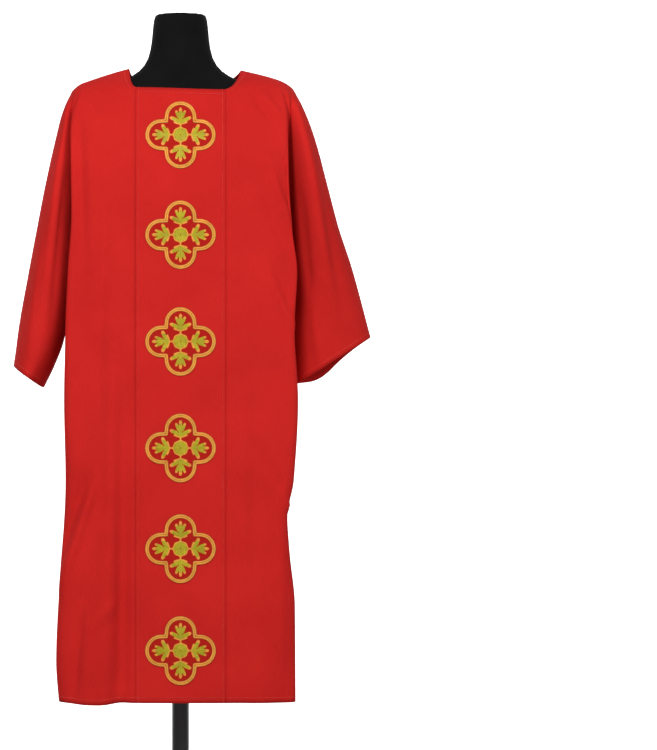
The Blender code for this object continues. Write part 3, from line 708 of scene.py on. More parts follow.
def creased(grid, side, face, parts, kept_columns):
    """The grid with its creases pressed in along its normals, fading to nothing at what it joins."""
    normals = grid_normals(grid)
    normals *= np.where(normals[..., 1:2].mean() < 0, -1.0, 1.0)
    x, z = grid[..., 0], grid[..., 2]
    lift = slow_waves(face, side, x, z)
    for part, share in parts:
        lift = lift + share * crease_lift(face, side, part, x, z)
    lift = lift * np.clip(np.abs(normals[..., 1]) * 1.6, 0, 1)
    rows, columns = lift.shape
    row, column = np.arange(rows)[:, None], np.arange(columns)[None, :]
    inner, outer = kept_columns
    lift = lift * smooth_step(row / KEPT_ROWS)
    lift = lift * smooth_step(column / inner)
    lift = lift * smooth_step((columns - 1 - column) / outer)
    return grid + normals * lift[..., None]


def side_piece(context, side, face, finish):
    """Half of a front or a back in one with its half of the sleeve."""
    upper, body, sleeve = side_grids(side, face)
    full = np.concatenate([upper[:, :BODY_COLUMNS], body[1:]])
    columns = np.arange(upper.shape[1])
    on_body = np.clip((BODY_COLUMNS - 4 - columns) / 6, 0, 1)[None, :]
    on_sleeve = np.clip((columns - BODY_COLUMNS - 2) / 6, 0, 1)[None, :]
    whole = (("body", on_body), ("sleeve", on_sleeve))
    lifted_upper = creased(upper, side, face, whole, BODY_KEPT)
    share = on_body[:, :BODY_COLUMNS]
    lifted_body = creased(full, side, face, (("body", share),), BODY_KEPT)[len(upper) - 1 :]
    joined_sleeve = np.concatenate([upper[:, BODY_COLUMNS - 1 :], sleeve[1:]])
    share = on_sleeve[:, BODY_COLUMNS - 1 :]
    lifted_sleeve = creased(joined_sleeve, side, face, (("sleeve", share),), SLEEVE_KEPT)
    lifted_sleeve = lifted_sleeve[len(upper) - 1 :]
    lifted_body[0] = lifted_upper[-1][:BODY_COLUMNS]
    lifted_sleeve[0] = lifted_upper[-1][BODY_COLUMNS - 1 :]
    flip = side * face < 0
    upper_along, upper_down = grid_lengths(upper)
    sleeve_start = upper_along[-1, BODY_COLUMNS - 1] + PANEL_HALF_WIDTH
    cloth = Cloth()
    for flat, lifted, start, top in (
        (upper, lifted_upper, upper[:, :1, 0], 0.0),
        (body, lifted_body, PANEL_HALF_WIDTH, upper_down[-1]),
        (sleeve, lifted_sleeve, sleeve_start, upper_down[-1]),
    ):
        along, down = grid_lengths(flat)
        cloth.add_grid(placed(lifted, side, face), uv_of(along + start, down, top), flip)
    name = f"{FACE_NAMES[face]}_{SIDE_NAMES[side]}_side"
    made = add_piece(context, name + "_cloth", cloth.mesh(name), [finish], [name])
    add_wall(made)
    neck = int(np.searchsorted(-upper_levels(side), -NECK_LOW_LEVEL[face])) + 1
    edges = {
        "hem": placed(lifted_body, side, face),
        "cuff": placed(lifted_sleeve, side, face),
        "neck": placed(lifted_upper, side, face)[: neck + 1, ::-1].transpose(1, 0, 2)[:, 2:],
    }
    return made, edges


def uv_of(along, down, start):
    return np.stack([along, -(np.broadcast_to(down[:, None], along.shape) + start)], axis=2)


def panel_heights(face):
    """The rows of the centre panel, from the neckline to the hem."""
    top = level_z(LEFT, PANEL_HALF_WIDTH, NECK_LOW_LEVEL[face])
    return np.linspace(top, HEM_Z[face], PANEL_ROWS)


def neckline_slope(face, x, z):
    """How far the panel's upper rows are moved, so that its top runs down to the lower right corner."""
    top = level_z(LEFT, PANEL_HALF_WIDTH, NECK_LOW_LEVEL[face])
    lower = level_z(RIGHT, PANEL_HALF_WIDTH, NECK_LOW_LEVEL[face]) - top
    across = smooth_step((x + PANEL_HALF_WIDTH) / (2 * PANEL_HALF_WIDTH))
    return lower * across * smooth_step(1 - (top - z) / 0.08)


def panel_point_depth(face, x, z):
    """The centre panel's own depth, with its creases."""
    x, z = np.asarray(x, float), np.asarray(z, float)
    depth = np.zeros(np.broadcast(x, z).shape)
    for side in (LEFT, RIGHT):
        here = np.broadcast_to(x * side >= 0, depth.shape)
        far = np.abs(x)
        value = depth_at(face, side, far, z) + fold_relief(face, side, far, z)
        inside = PANEL_HALF_WIDTH - far
        value = value + crease_lift(face, side, "panel", far, z) * smooth_step(inside / FLAT_BESIDE_SEAM)
        value = value - SEAM_GROOVE * smooth_step(1 - inside / GROOVE_WIDTH)
        value = value - TURNING_DROP * smooth_step(-inside / TURNING_BEND)
        depth = np.where(here, value, depth)
    return depth


def centre_panel(context, face, finish):
    half = PANEL_HALF_WIDTH - SEAM_GAP / 2
    near_seam = half + np.array(SEAM_COLUMNS)
    across = np.linspace(-half + 0.004, half - 0.004, PANEL_COLUMNS)
    x, z = np.meshgrid(np.concatenate([-near_seam, across, near_seam[::-1]]), panel_heights(face))
    z = z + neckline_slope(face, x, z)
    grid = np.stack([x, panel_point_depth(face, x, z), z], axis=2)
    along, down = grid_lengths(grid)
    cloth = Cloth()
    cloth.add_grid(grid * np.array([1.0, face, 1.0]), uv_of(along - half, down, 0.0), face > 0)
    name = f"{FACE_NAMES[face]}_centre_panel"
    made = add_piece(context, name + "_cloth", cloth.mesh(name), [finish], [name])
    add_wall(made)
    return made


# --- embroidery


Thread = namedtuple("Thread", "start end colour")
Pad = namedtuple("Pad", "low high colour closed")
GOLD, OLIVE = 0, 1

# One palmette in strokes of satin stitch: each line's places, as distances outwards from the quatrefoil's
# middle and to the side, and the half widths along that line.
Stroke = namedtuple("Stroke", "colour mirrored line half_widths")
PALMETTE = (
    Stroke(GOLD, False, ((0.0155, 0), (0.0225, 0)), (0.0015, 0.0016)),
    Stroke(
        OLIVE, False, ((0.0215, 0), (0.0270, 0), (0.0360, 0), (0.0490, 0)), (0.0012, 0.0034, 0.0048, 0.0030)
    ),
    Stroke(GOLD, False, ((0.0490, 0), (0.0530, 0), (0.0565, 0)), (0.0030, 0.0034, 0.0015)),
    Stroke(OLIVE, True, ((0.0250, 0.0010), (0.0310, 0.0090), (0.0345, 0.0160)), (0.0022, 0.0042, 0.0034)),
    Stroke(GOLD, True, ((0.0345, 0.0160), (0.0355, 0.0185), (0.0360, 0.0210)), (0.0036, 0.0034, 0.0018)),
    Stroke(OLIVE, True, ((0.0360, 0.0030), (0.0430, 0.0060), (0.0475, 0.0078)), (0.0028, 0.0030, 0.0026)),
    Stroke(GOLD, True, ((0.0475, 0.0078), (0.0508, 0.0093)), (0.0028, 0.0016)),
    Stroke(GOLD, True, ((0.0220, 0.0010), (0.0245, 0.0080), (0.0275, 0.0125)), (0.0010, 0.0016, 0.0026)),
)
ROSETTE_RADIUS = 0.0158


def direction(angle):
    return np.array([math.cos(angle), math.sin(angle)])


def quatrefoil_line(size, inset, steps):
    """A quatrefoil's closed outline, moved inwards by inset: round lobes that meet in square notches."""
    radius = MOTIF_LOBE_RADIUS - inset
    points = []
    for lobe in range(4):
        heading = lobe * math.pi / 2
        forward = np.round(direction(heading))
        reach = np.abs(forward) @ np.array(size) / 2 - MOTIF_LOBE_RADIUS
        for turn in np.linspace(-math.pi / 2, math.pi / 2, steps):
            points.append(reach * forward + radius * direction(heading + turn))
        points.append((np.array(MOTIF_NOTCH) - inset) * np.sign(direction(heading + math.pi / 4)))
    return np.array(points)


def resampled(points, step, closed):
    """The line again with points a step apart."""
    points = np.asarray(points, float)
    if closed:
        points = np.concatenate([points, points[:1]])
    lengths = np.concatenate([[0.0], np.cumsum(np.linalg.norm(np.diff(points, axis=0), axis=1))])
    count = max(int(round(lengths[-1] / step)), 2)
    at = np.linspace(0.0, lengths[-1], count + 1)
    if closed:
        at = at[:-1]
    return np.stack([np.interp(at, lengths, points[:, i]) for i in range(2)], axis=1)


def line_normals(points, closed):
    if closed:
        tangent = np.roll(points, -1, axis=0) - np.roll(points, 1, axis=0)
    else:
        tangent = np.gradient(points, axis=0)
    tangent /= np.maximum(np.linalg.norm(tangent, axis=1, keepdims=True), 1e-12)
    return np.stack([-tangent[:, 1], tangent[:, 0]], axis=1)


class Embroidery:
    """Satin columns, collected flat about (0, 0) before they are laid on the panel."""

    def __init__(self, pitch):
        self.pitch = pitch
        self.threads = []
        self.pads = []

    def satin(self, line, half_widths, colour, closed=False):
        """A satin column: a padded strip with threads across it, all a pitch apart."""
        line = resampled(line, self.pitch, closed)
        share = np.linspace(0.0, 1.0, len(line))
        half = np.interp(share, np.linspace(0, 1, len(half_widths)), half_widths)[:, None]
        across = line_normals(line, closed)
        low, high = line - across * half, line + across * half
        for start, end in zip(low, high):
            if np.linalg.norm(end - start) > SHORTEST_THREAD:
                self.threads.append(Thread(start, end, colour))
        self.pads.append(Pad(low, high, colour, closed))

    def palmette(self, heading, stretch):
        """A five-lobed leaf on a short stem, with a small curl on each side of its base."""
        forward = direction(heading)
        sideways = np.array([-forward[1], forward[0]])
        for stroke in PALMETTE:
            for mirror in (-1, 1) if stroke.mirrored else (1,):
                line = [forward * out * stretch + sideways * across * mirror for out, across in stroke.line]
                self.satin(line, stroke.half_widths, stroke.colour)

    def rosette(self, radius):
        """A filled round flower: eight olive petals about a boss, with a scalloped rim."""
        for petal in range(8):
            heading = direction(petal * math.pi / 4)
            line = [heading * radius * reach for reach in (0.24, 0.60, 0.88)]
            self.satin(line, [0.09 * radius, 0.27 * radius, 0.24 * radius], OLIVE)
        turns = np.linspace(0, 2 * math.pi, 49)[:-1]
        rim = [(0.86 + 0.08 * abs(math.cos(4 * turn))) * radius * direction(turn) for turn in turns]
        self.satin(rim, [0.075 * radius], GOLD, closed=True)
        boss = [0.2 * radius * direction(turn) for turn in turns[::4]]
        self.satin(boss, [0.11 * radius], OLIVE, closed=True)


def motif_design(size, band):
    """The whole quatrefoil, flat: band of two rows, rosette and four palmettes."""
    work = Embroidery(THREAD_PITCH)
    row = band * ROW_WIDTH
    for inset in (row * ROW_INSET, band - row * ROW_INSET):
        work.satin(quatrefoil_line(size, inset, 26), [row / 2], GOLD, closed=True)
    for lobe in range(4):
        work.palmette(lobe * math.pi / 2, size[lobe % 2] / size[0])
    work.rosette(ROSETTE_RADIUS)
    return work


def on_panel(face, flat, centre_z, lift):
    """Flat points laid on the centre panel, lift above its cloth, with the panel's normals there."""
    flat = np.asarray(flat, float)
    x, z = flat[:, 0] * -face, flat[:, 1] + centre_z
    step = 0.002
    y = panel_point_depth(face, x, z)
    slope_x = (panel_point_depth(face, x + step, z) - panel_point_depth(face, x - step, z)) / (2 * step)
    slope_z = (panel_point_depth(face, x, z + step) - panel_point_depth(face, x, z - step)) / (2 * step)
    normals = np.stack([-slope_x, np.ones_like(x), -slope_z], axis=1)
    normals /= np.linalg.norm(normals, axis=1, keepdims=True)
    points = np.stack([x, y, z], axis=1) + normals * np.asarray(lift).reshape(-1, 1)
    turn = np.array([1.0, face, 1.0])
    return points * turn, normals * turn


def feed(tree, node, sources):
    """Gives a node's inputs their sources: an output is linked and any other value is set."""
    for name, source in sources.items():
        if isinstance(source, bpy.types.NodeSocket):
            tree.links.new(source, node.inputs[name])
        else:
            node.inputs[name].default_value = source


def add_node(tree, kind, sources=None, **settings):
    made = tree.nodes.new(kind)
    for name, value in settings.items():
        setattr(made, name, value)
    feed(tree, made, sources or {})
    return made


def maths(tree, operation, first, second=0.0):
    return add_node(tree, "ShaderNodeMath", {0: first, 1: second}, operation=operation).outputs[0]


def thread_nodes():
    """Every loose edge becomes one arched thread that stands up along its points' own normals."""
    name = "Laid threads"
    if name in bpy.data.node_groups:
        return bpy.data.node_groups[name]
    group = bpy.data.node_groups.new(name, "GeometryNodeTree")
    group.is_modifier = True
    group.interface.new_socket(name="Geometry", in_out="OUTPUT", socket_type="NodeSocketGeometry")
    for label, kind in (
        ("Geometry", "Geometry"),
        ("Thread radius", "Float"),
        ("Arch", "Float"),
        ("Sections", "Int"),
        ("Material", "Material"),
    ):
        group.interface.new_socket(name=label, in_out="INPUT", socket_type="NodeSocket" + kind)
    given = add_node(group, "NodeGroupInput").outputs
    curves = add_node(group, "GeometryNodeMeshToCurve", {"Mesh": given["Geometry"]})
    sources = {"Curve": curves.outputs["Curve"], "Count": given["Sections"]}
    resample = add_node(group, "GeometryNodeResampleCurve", sources)
    factor = add_node(group, "GeometryNodeSplineParameter").outputs["Factor"]
    bow = maths(group, "MULTIPLY", factor, maths(group, "SUBTRACT", 1.0, factor))  # a quarter at the middle
    rise = maths(group, "MULTIPLY", maths(group, "MULTIPLY", bow, given["Arch"]), 4.0)
    up = add_node(group, "GeometryNodeInputNamedAttribute", {"Name": "up"}, data_type="FLOAT_VECTOR")
    sources = {0: up.outputs["Attribute"], "Scale": rise}
    scaled = add_node(group, "ShaderNodeVectorMath", sources, operation="SCALE")
    sources = {"Geometry": resample.outputs["Curve"], "Offset": scaled.outputs["Vector"]}
    moved = add_node(group, "GeometryNodeSetPosition", sources)
    sources = {"Resolution": 3, "Radius": given["Thread radius"]}
    profile = add_node(group, "GeometryNodeCurvePrimitiveCircle", sources)
    sources = {"Curve": moved.outputs["Geometry"], "Profile Curve": profile.outputs["Curve"]}
    tubes = add_node(group, "GeometryNodeCurveToMesh", sources)
    real = add_node(group, "GeometryNodeRealizeInstances", {"Geometry": tubes.outputs["Mesh"]})
    sources = {"Geometry": real.outputs["Geometry"], "Material": given["Material"]}
    finish = add_node(group, "GeometryNodeSetMaterial", sources)
    add_node(group, "NodeGroupOutput", {"Geometry": finish.outputs["Geometry"]})
    return group


def with_nodes(data, group, values):
    """A mesh after a Geometry Nodes tree has worked on it, as a plain mesh."""
    holder = bpy.data.objects.new("holder", data)
    bpy.context.scene.collection.objects.link(holder)
    modifier = holder.modifiers.new("Nodes", "NODES")
    modifier.node_group = group
    names = {item.name: item.identifier for item in group.interface.items_tree if item.in_out == "INPUT"}
    for name, value in values.items():
        modifier[names[name]] = value
    graph = bpy.context.evaluated_depsgraph_get()
    made = bpy.data.meshes.new_from_object(holder.evaluated_get(graph))
    bpy.data.objects.remove(holder)
    return made


def threads_mesh(starts, ends, normals, radius, arch, sections, finish):
    """Arched threads from starts to ends."""
    data = bpy.data.meshes.new("threads")
    count = len(starts)
    points = np.stack([starts, ends], axis=1).reshape(-1, 3)
    edges = np.arange(2 * count).reshape(-1, 2)
    data.from_pydata(points.tolist(), edges.tolist(), [])
    up = data.attributes.new("up", "FLOAT_VECTOR", "POINT")
    up.data.foreach_set("vector", np.repeat(normals, 2, axis=0).astype(np.float32).ravel())
    values = {"Thread radius": radius, "Arch": arch, "Sections": sections, "Material": finish}
    made = with_nodes(data, thread_nodes(), values)
    bpy.data.meshes.remove(data)
    return made


def join_meshes(name, meshes):
    """Several meshes as one, keeping which material each face has."""
    shape = bmesh.new()
    materials = []
    for data in meshes:
        before = len(shape.faces)
        shape.from_mesh(data)
        shape.faces.ensure_lookup_table()
        shift = {}
        for i, finish in enumerate(data.materials):
            if finish not in materials:
                materials.append(finish)
            shift[i] = materials.index(finish)
        for item in shape.faces[before:]:
            item.material_index = shift.get(item.material_index, 0)
        bpy.data.meshes.remove(data)
    joined = bpy.data.meshes.new(name)
    shape.to_mesh(joined)
    shape.free()
    for finish in materials:
        joined.materials.append(finish)
    joined.shade_smooth()
    return joined


# The padding under a satin column: how far across the column, and how much of its height it has there.
Crown = namedtuple("Crown", "across height")
PAD_PROFILE = (Crown(0.0, 0.0), Crown(0.25, 0.85), Crown(0.75, 0.85), Crown(1.0, 0.0))


def pad_mesh(face, centre_z, pad, lift, height, finish):
    """The padding under a satin column: a strip that is crowned along its middle."""
    every = 1 if len(pad.low) < 12 else 3
    low, high = (np.concatenate([edge[::every], edge[-1:]]) for edge in (pad.low, pad.high))
    flat = np.concatenate([low + (high - low) * crown.across for crown in PAD_PROFILE])
    lifts = np.repeat([lift + height * crown.height for crown in PAD_PROFILE], len(low))
    points, _ = on_panel(face, flat, centre_z, lifts)
    grid = points.reshape(len(PAD_PROFILE), len(low), 3).transpose(1, 0, 2)
    if pad.closed:
        grid = np.concatenate([grid, grid[:1]])
    quads = grid_quads(*grid.shape[:2])
    return outward_mesh("pad", grid.reshape(-1, 3), quads.tolist(), face, finish)


def ground_mesh(face, centre_z, size, lift, thickness, finish):
    """The ground inside a quatrefoil, in rings of its own outline about its middle; its darker red is painted
    shade.
    """
    outline = quatrefoil_line(size, 0.0012, 14)
    count = len(outline)
    shares = (1.0, 1.0, 0.86, 0.68, 0.5, 0.32, 0.15)  # the edge's foot and top, then inwards
    flat = np.concatenate([outline * share for share in shares] + [np.zeros((1, 2))])
    lifts = np.full(len(flat), lift + thickness)
    lifts[:count] = lift
    points, _ = on_panel(face, flat, centre_z, lifts)
    faces = []
    for ring in range(len(shares) - 1):
        for i in range(count):
            j = (i + 1) % count
            faces.append((ring * count + i, ring * count + j, (ring + 1) * count + j, (ring + 1) * count + i))
    last = (len(shares) - 1) * count
    faces += [(last + i, last + (i + 1) % count, len(flat) - 1) for i in range(count)]
    return outward_mesh("ground", points, faces, face, finish)


def quatrefoil(context, face, number, design, settings, finishes):
    """One embroidered quatrefoil on its panel."""
    gold, olive, shadow_brown, ground = finishes
    centre_z = MOTIF_HEIGHTS[face][number - 1]
    base = CLOTH + MOTIF_LIFT
    lift = base + GROUND_THICKNESS
    # The ground patch is painted a darker red as shade from the band.
    meshes = [ground_mesh(face, centre_z, motif_size(settings), base, GROUND_THICKNESS, ground)]
    threads = {GOLD: gold, OLIVE: olive}
    for pad in design.pads:
        meshes.append(pad_mesh(face, centre_z, pad, lift - PAD_SINK, PAD_HEIGHT, threads[pad.colour]))
    for colour, finish in threads.items():
        mine = [thread for thread in design.threads if thread.colour == colour]
        starts, normals = on_panel(face, [thread.start for thread in mine], centre_z, lift)
        ends, _ = on_panel(face, [thread.end for thread in mine], centre_z, lift)
        meshes.append(threads_mesh(starts, ends, normals, THREAD_RADIUS, THREAD_ARCH, 3, finish))
    # Painted shadow: thin dark threads along the band's edges and between its two rows.
    for shadow_line in SHADOW_LINES:
        outline = quatrefoil_line(motif_size(settings), settings.band_width * shadow_line.across, 20)
        points, normals = on_panel(face, resampled(outline, SHADOW_LINE_STEP, True), centre_z, lift)
        ends = np.roll(points, -1, axis=0)
        meshes.append(threads_mesh(points, ends, normals, shadow_line.radius, SHADOW_LINE_ARCH, 2, shadow_brown))
    node = f"{FACE_NAMES[face]}_quatrefoil_{number}"
    return add_piece(context, node + "_embroidery", join_meshes(node, meshes), [], [node])


# --- materials


def material(name, surface_of):
    """The material of this name. The first time, surface_of gives the surface's inputs in its node tree."""
    made = bpy.data.materials.get(name)
    if made is None:
        made = bpy.data.materials.new(name)
        made.use_nodes = True
        tree = made.node_tree
        feed(tree, tree.nodes["Principled BSDF"], surface_of(tree))
    return made


def object_place(tree):
    return add_node(tree, "ShaderNodeTexCoord").outputs["Object"]


def mixed_colours(tree, factor, first, second):
    sources = {"Factor": factor, "A": (*first, 1.0), "B": (*second, 1.0)}
    return add_node(tree, "ShaderNodeMix", sources, data_type="RGBA").outputs["Result"]


def noise(tree, coordinates, scale, detail=3.0, low=0.35, high=0.65):
    """A noise spread over 0 to 1."""
    sources = {"Scale": scale, "Detail": detail, "Vector": coordinates}
    pattern = add_node(tree, "ShaderNodeTexNoise", sources)
    sources = {"From Min": low, "From Max": high, "Value": pattern.outputs["Fac"]}
    return add_node(tree, "ShaderNodeMapRange", sources).outputs["Result"]


def blended(tree, first, second, share):
    """Two patterns mixed, with this share of the first."""
    rest = maths(tree, "MULTIPLY", second, 1 - share)
    return maths(tree, "ADD", maths(tree, "MULTIPLY", first, share), rest)


def relief(tree, height, strength, distance):
    """The normals of a fine relief."""
    sources = {"Strength": strength, "Distance": distance, "Height": height}
    return add_node(tree, "ShaderNodeBump", sources).outputs["Normal"]


def twill_height(tree, uv, pitch):
    """The fine diagonal ribs of a twill, from the cut's own coordinates."""
    split = add_node(tree, "ShaderNodeSeparateXYZ", {"Vector": uv})
    turn = 2 * math.pi / pitch
    diagonal = maths(tree, "ADD", split.outputs["X"], maths(tree, "MULTIPLY", split.outputs["Y"], 0.6))
    ribs = maths(tree, "SINE", maths(tree, "MULTIPLY", diagonal, turn))
    warp = maths(tree, "SINE", maths(tree, "MULTIPLY", split.outputs["Y"], turn * 1.7))
    return maths(tree, "ADD", ribs, maths(tree, "MULTIPLY", warp, 0.45))


def red_cloth(colour, shade):
    """A plain woven red cloth with a fine twill and a soft sheen."""

    def surface(tree):
        uv = add_node(tree, "ShaderNodeUVMap", uv_map="Cut").outputs["UV"]
        slub = add_node(tree, "ShaderNodeMapping", {"Scale": (900.0, 60.0, 1.0), "Vector": uv})
        clouds = noise(tree, object_place(tree), 7.0, 2.0)
        streaks = noise(tree, slub.outputs["Vector"], 1.0, 2.0, 0.3, 0.7)
        return {
            "Base Color": mixed_colours(tree, blended(tree, clouds, streaks, 0.55), shade, colour),
            "Normal": relief(tree, twill_height(tree, uv, 0.00085), 0.35, 0.00012),
            "Roughness": 0.9,
            "Specular IOR Level": 0.04,
            "Sheen Weight": 0.02,
            "Sheen Roughness": 0.35,
            "Sheen Tint": (1.0, 0.45, 0.38, 1.0),
        }

    return material("Red gabardine", surface)


def thread_material(name, light, dark, roughness):
    """Lustrous embroidery thread: each lay catches the light a little differently."""

    def surface(tree):
        place = object_place(tree)
        blend = blended(tree, noise(tree, place, 420.0, 2.0), noise(tree, place, 55.0, 2.0), 0.5)
        return {
            "Base Color": mixed_colours(tree, blend, dark, light),
            "Normal": relief(tree, noise(tree, place, 1500.0, 1.0), 0.3, 0.00008),
            "Roughness": roughness,
            "Specular IOR Level": 0.32,
        }

    return material(name, surface)


def ground_painted_shade_material(colour, shade):
    """The cloth inside a quatrefoil, painted a darker red than the garment as shade from the band round it.
    """

    def surface(tree):
        fine = noise(tree, object_place(tree), 900.0, 2.0)
        return {
            "Base Color": mixed_colours(tree, fine, shade, colour),
            "Normal": relief(tree, fine, 0.4, 0.0001),
            "Roughness": 0.85,
            "Specular IOR Level": 0.08,
        }

    return material("Ground cloth", surface)


def jersey_material(colour, shade):
    """Black stretch jersey: fine knitted columns over a matt ground."""

    def surface(tree):
        place = object_place(tree)
        split = add_node(tree, "ShaderNodeSeparateXYZ", {"Vector": place})
        turn = maths(tree, "ARCTAN2", split.outputs["Y"], split.outputs["X"])
        columns = maths(tree, "SINE", maths(tree, "MULTIPLY", turn, 420.0))
        rows = maths(tree, "SINE", maths(tree, "MULTIPLY", split.outputs["Z"], 5200.0))
        return {
            "Base Color": mixed_colours(tree, noise(tree, place, 12.0), shade, colour),
            "Normal": relief(tree, maths(tree, "MULTIPLY", columns, rows), 0.3, 0.00015),
            "Roughness": 0.82,
            "Specular IOR Level": 0.08,
            "Sheen Weight": 0.02,
            "Sheen Roughness": 0.5,
        }

    return material("Black jersey", surface)


def coated_metal(colour, shade):
    """Black powder coat with a fine orange-peel surface."""

    def surface(tree):
        place = object_place(tree)
        return {
            "Base Color": mixed_colours(tree, noise(tree, place, 9.0), shade, colour),
            "Normal": relief(tree, noise(tree, place, 700.0, 2.0), 0.25, 0.0002),
            "Roughness": 0.42,
            "Coat Weight": 0.15,
        }

    return material("Black powder coat", surface)


def plain_material(name, colour, roughness, glow):
    """A matt surface of the stage, which may glow white."""
    surface = {
        "Base Color": (*colour, 1.0),
        "Roughness": roughness,
        "Emission Color": (1.0, 1.0, 1.0, 1.0),
        "Emission Strength": glow,
    }
    return material(name, lambda tree: surface)


# --- settings


class DALMATIC_PG_settings(bpy.types.PropertyGroup):
    """The sizes and colours that a user would change."""

    motif_width: bpy.props.FloatProperty(
        name="Quatrefoil width", description="Width of each quatrefoil", default=0.141, unit="LENGTH"
    )
    motif_height: bpy.props.FloatProperty(
        name="Quatrefoil height", description="Height of each quatrefoil", default=0.137, unit="LENGTH"
    )
    band_width: bpy.props.FloatProperty(
        name="Band width",
        description="Width of the gold band round a quatrefoil",
        default=0.0072,
        unit="LENGTH",
    )
    topstitch: bpy.props.FloatProperty(
        name="Topstitch",
        description="How far the topstitch runs inside the panel's seam",
        default=0.0055,
        unit="LENGTH",
    )
    hem_depth: bpy.props.FloatProperty(
        name="Hem depth",
        description="How far the hem's stitches are above the edge",
        default=0.011,
        unit="LENGTH",
    )
    red: bpy.props.FloatVectorProperty(
        name="Red", description="Colour of the cloth", default=(0.59, 0.020, 0.017), subtype="COLOR", size=3
    )
    deep_red: bpy.props.FloatVectorProperty(
        name="Deep red",
        description="Shade in the cloth's weave",
        default=(0.49, 0.015, 0.013),
        subtype="COLOR",
        size=3,
    )
    gold: bpy.props.FloatVectorProperty(
        name="Gold", description="Thread of the bands", default=(0.95, 0.44, 0.065), subtype="COLOR", size=3
    )
    olive: bpy.props.FloatVectorProperty(
        name="Olive gold",
        description="Thread of the leaves",
        default=(0.60, 0.52, 0.020),
        subtype="COLOR",
        size=3,
    )


def settings_of(context):
    return context.scene.dalmatic


def motif_size(settings):
    return (settings.motif_width, settings.motif_height)


def garment_finish(settings):
    return red_cloth(tuple(settings.red), tuple(settings.deep_red))


def embroidery_finishes(settings):
    gold, olive = np.array(settings.gold), np.array(settings.olive)
    return (
        thread_material("Gold thread", tuple(gold), tuple(gold * 0.78), 0.42),
        thread_material("Olive gold thread", tuple(olive), tuple(olive * 0.66), 0.42),
        # the dark thread of the painted shadow lines round each band
        thread_material("Brown edging thread", (0.17, 0.055, 0.010), (0.09, 0.028, 0.006), 0.55),
        # the ground's darker reds are painted shade from the band
        ground_painted_shade_material((0.46, 0.012, 0.008), (0.33, 0.009, 0.006)),
    )


# --- stitches and seams


def run_of_stitches(line, normals, stitch, finish):
    """Stitches end to end along a line of points, each a short arched thread."""
    line, normals = np.asarray(line), np.asarray(normals)
    lengths = np.concatenate([[0.0], np.cumsum(np.linalg.norm(np.diff(line, axis=0), axis=1))])
    pitch = stitch.length + stitch.gap
    count = max(int(lengths[-1] / pitch), 1)
    starts_at = np.arange(count) * lengths[-1] / count
    ends_at = starts_at + lengths[-1] / count * stitch.length / pitch

    def at(places, values):
        return np.stack([np.interp(places, lengths, values[:, i]) for i in range(3)], axis=1)

    starts, ends, lean = at(starts_at, line), at(ends_at, line), at(starts_at, normals)
    return threads_mesh(starts, ends, lean, stitch.radius, stitch.arch, 3, finish)


def beside_edge(grid, depth, face):
    """The line at a distance inside a grid's last row, with normals that point out of the cloth."""
    normals = grid_normals(grid)
    normals *= np.sign(normals[..., 1].mean()) * face
    rows, outward = grid[::-1][:EDGE_ROWS], normals[::-1][:EDGE_ROWS]
    steps = np.linalg.norm(np.diff(rows, axis=0), axis=2)
    lengths = np.concatenate([np.zeros((1, rows.shape[1])), np.cumsum(steps, axis=0)])
    line, up = [], []
    for column in range(rows.shape[1]):
        at, lean = (
            np.array([np.interp(depth, lengths[:, column], values[:, column, i]) for i in range(3)])
            for values in (rows, outward)
        )
        lean /= np.linalg.norm(lean)
        line.append(at + lean * CLOTH)
        up.append(lean)
    return np.array(line), np.array(up)


def panel_line(face, x):
    """A line down the centre panel at x, from the neckline to the hem, with its normals."""
    heights = panel_heights(face)
    heights = heights + neckline_slope(face, np.full_like(heights, x), heights)
    flat = np.stack([np.full_like(heights, x * -face), heights], axis=1)
    return on_panel(face, flat, 0.0, CLOTH)


def edge_stitches(context, side, face, edges):
    """The stitches that hold the turnings of one side piece's hem, cuff and neckline."""
    settings = settings_of(context)
    finish = sewing_thread(settings)
    meshes = []
    for edge in edges.values():
        line, normals = beside_edge(edge, settings.hem_depth, face)
        meshes.append(run_of_stitches(line, normals, TURNING_STITCH, finish))
    name = f"{FACE_NAMES[face]}_{SIDE_NAMES[side]}_edge_stitches"
    add_piece(context, name, join_meshes(name, meshes), [])


def sewing_thread(settings):
    red = np.array(settings.red)
    return thread_material("Red sewing thread", (0.86, 0.16, 0.12), tuple(red), 0.55)


# --- operators


class DALMATIC_OT_side_pieces(bpy.types.Operator):
    """Sews the four side pieces, each half of a front or a back in one with half of a sleeve"""

    bl_idname = "dalmatic.side_pieces"
    bl_label = "Side Pieces"

    def execute(self, context):
        finish = garment_finish(settings_of(context))
        for face in (FRONT, BACK):
            for side in (LEFT, RIGHT):
                made, edges = side_piece(context, side, face, finish)
                edge_stitches(context, side, face, edges)
        return {"FINISHED"}


class DALMATIC_OT_centre_panels(bpy.types.Operator):
    """Sews the centre panels of the front and the back"""

    bl_idname = "dalmatic.centre_panels"
    bl_label = "Centre Panels"

    def execute(self, context):
        finish = garment_finish(settings_of(context))
        for face in (FRONT, BACK):
            made = centre_panel(context, face, finish)
            length = float(np.ptp(panel_heights(face))) + PANEL_CURVE
        return {"FINISHED"}


class DALMATIC_OT_quatrefoils(bpy.types.Operator):
    """Embroiders the six quatrefoils down each centre panel"""

    bl_idname = "dalmatic.quatrefoils"
    bl_label = "Quatrefoils"

    def execute(self, context):
        settings = settings_of(context)
        design = motif_design(motif_size(settings), settings.band_width)
        finishes = embroidery_finishes(settings)
        for face in (FRONT, BACK):
            for number in range(1, len(MOTIF_HEIGHTS[face]) + 1):
                quatrefoil(context, face, number, design, settings, finishes)
        return {"FINISHED"}


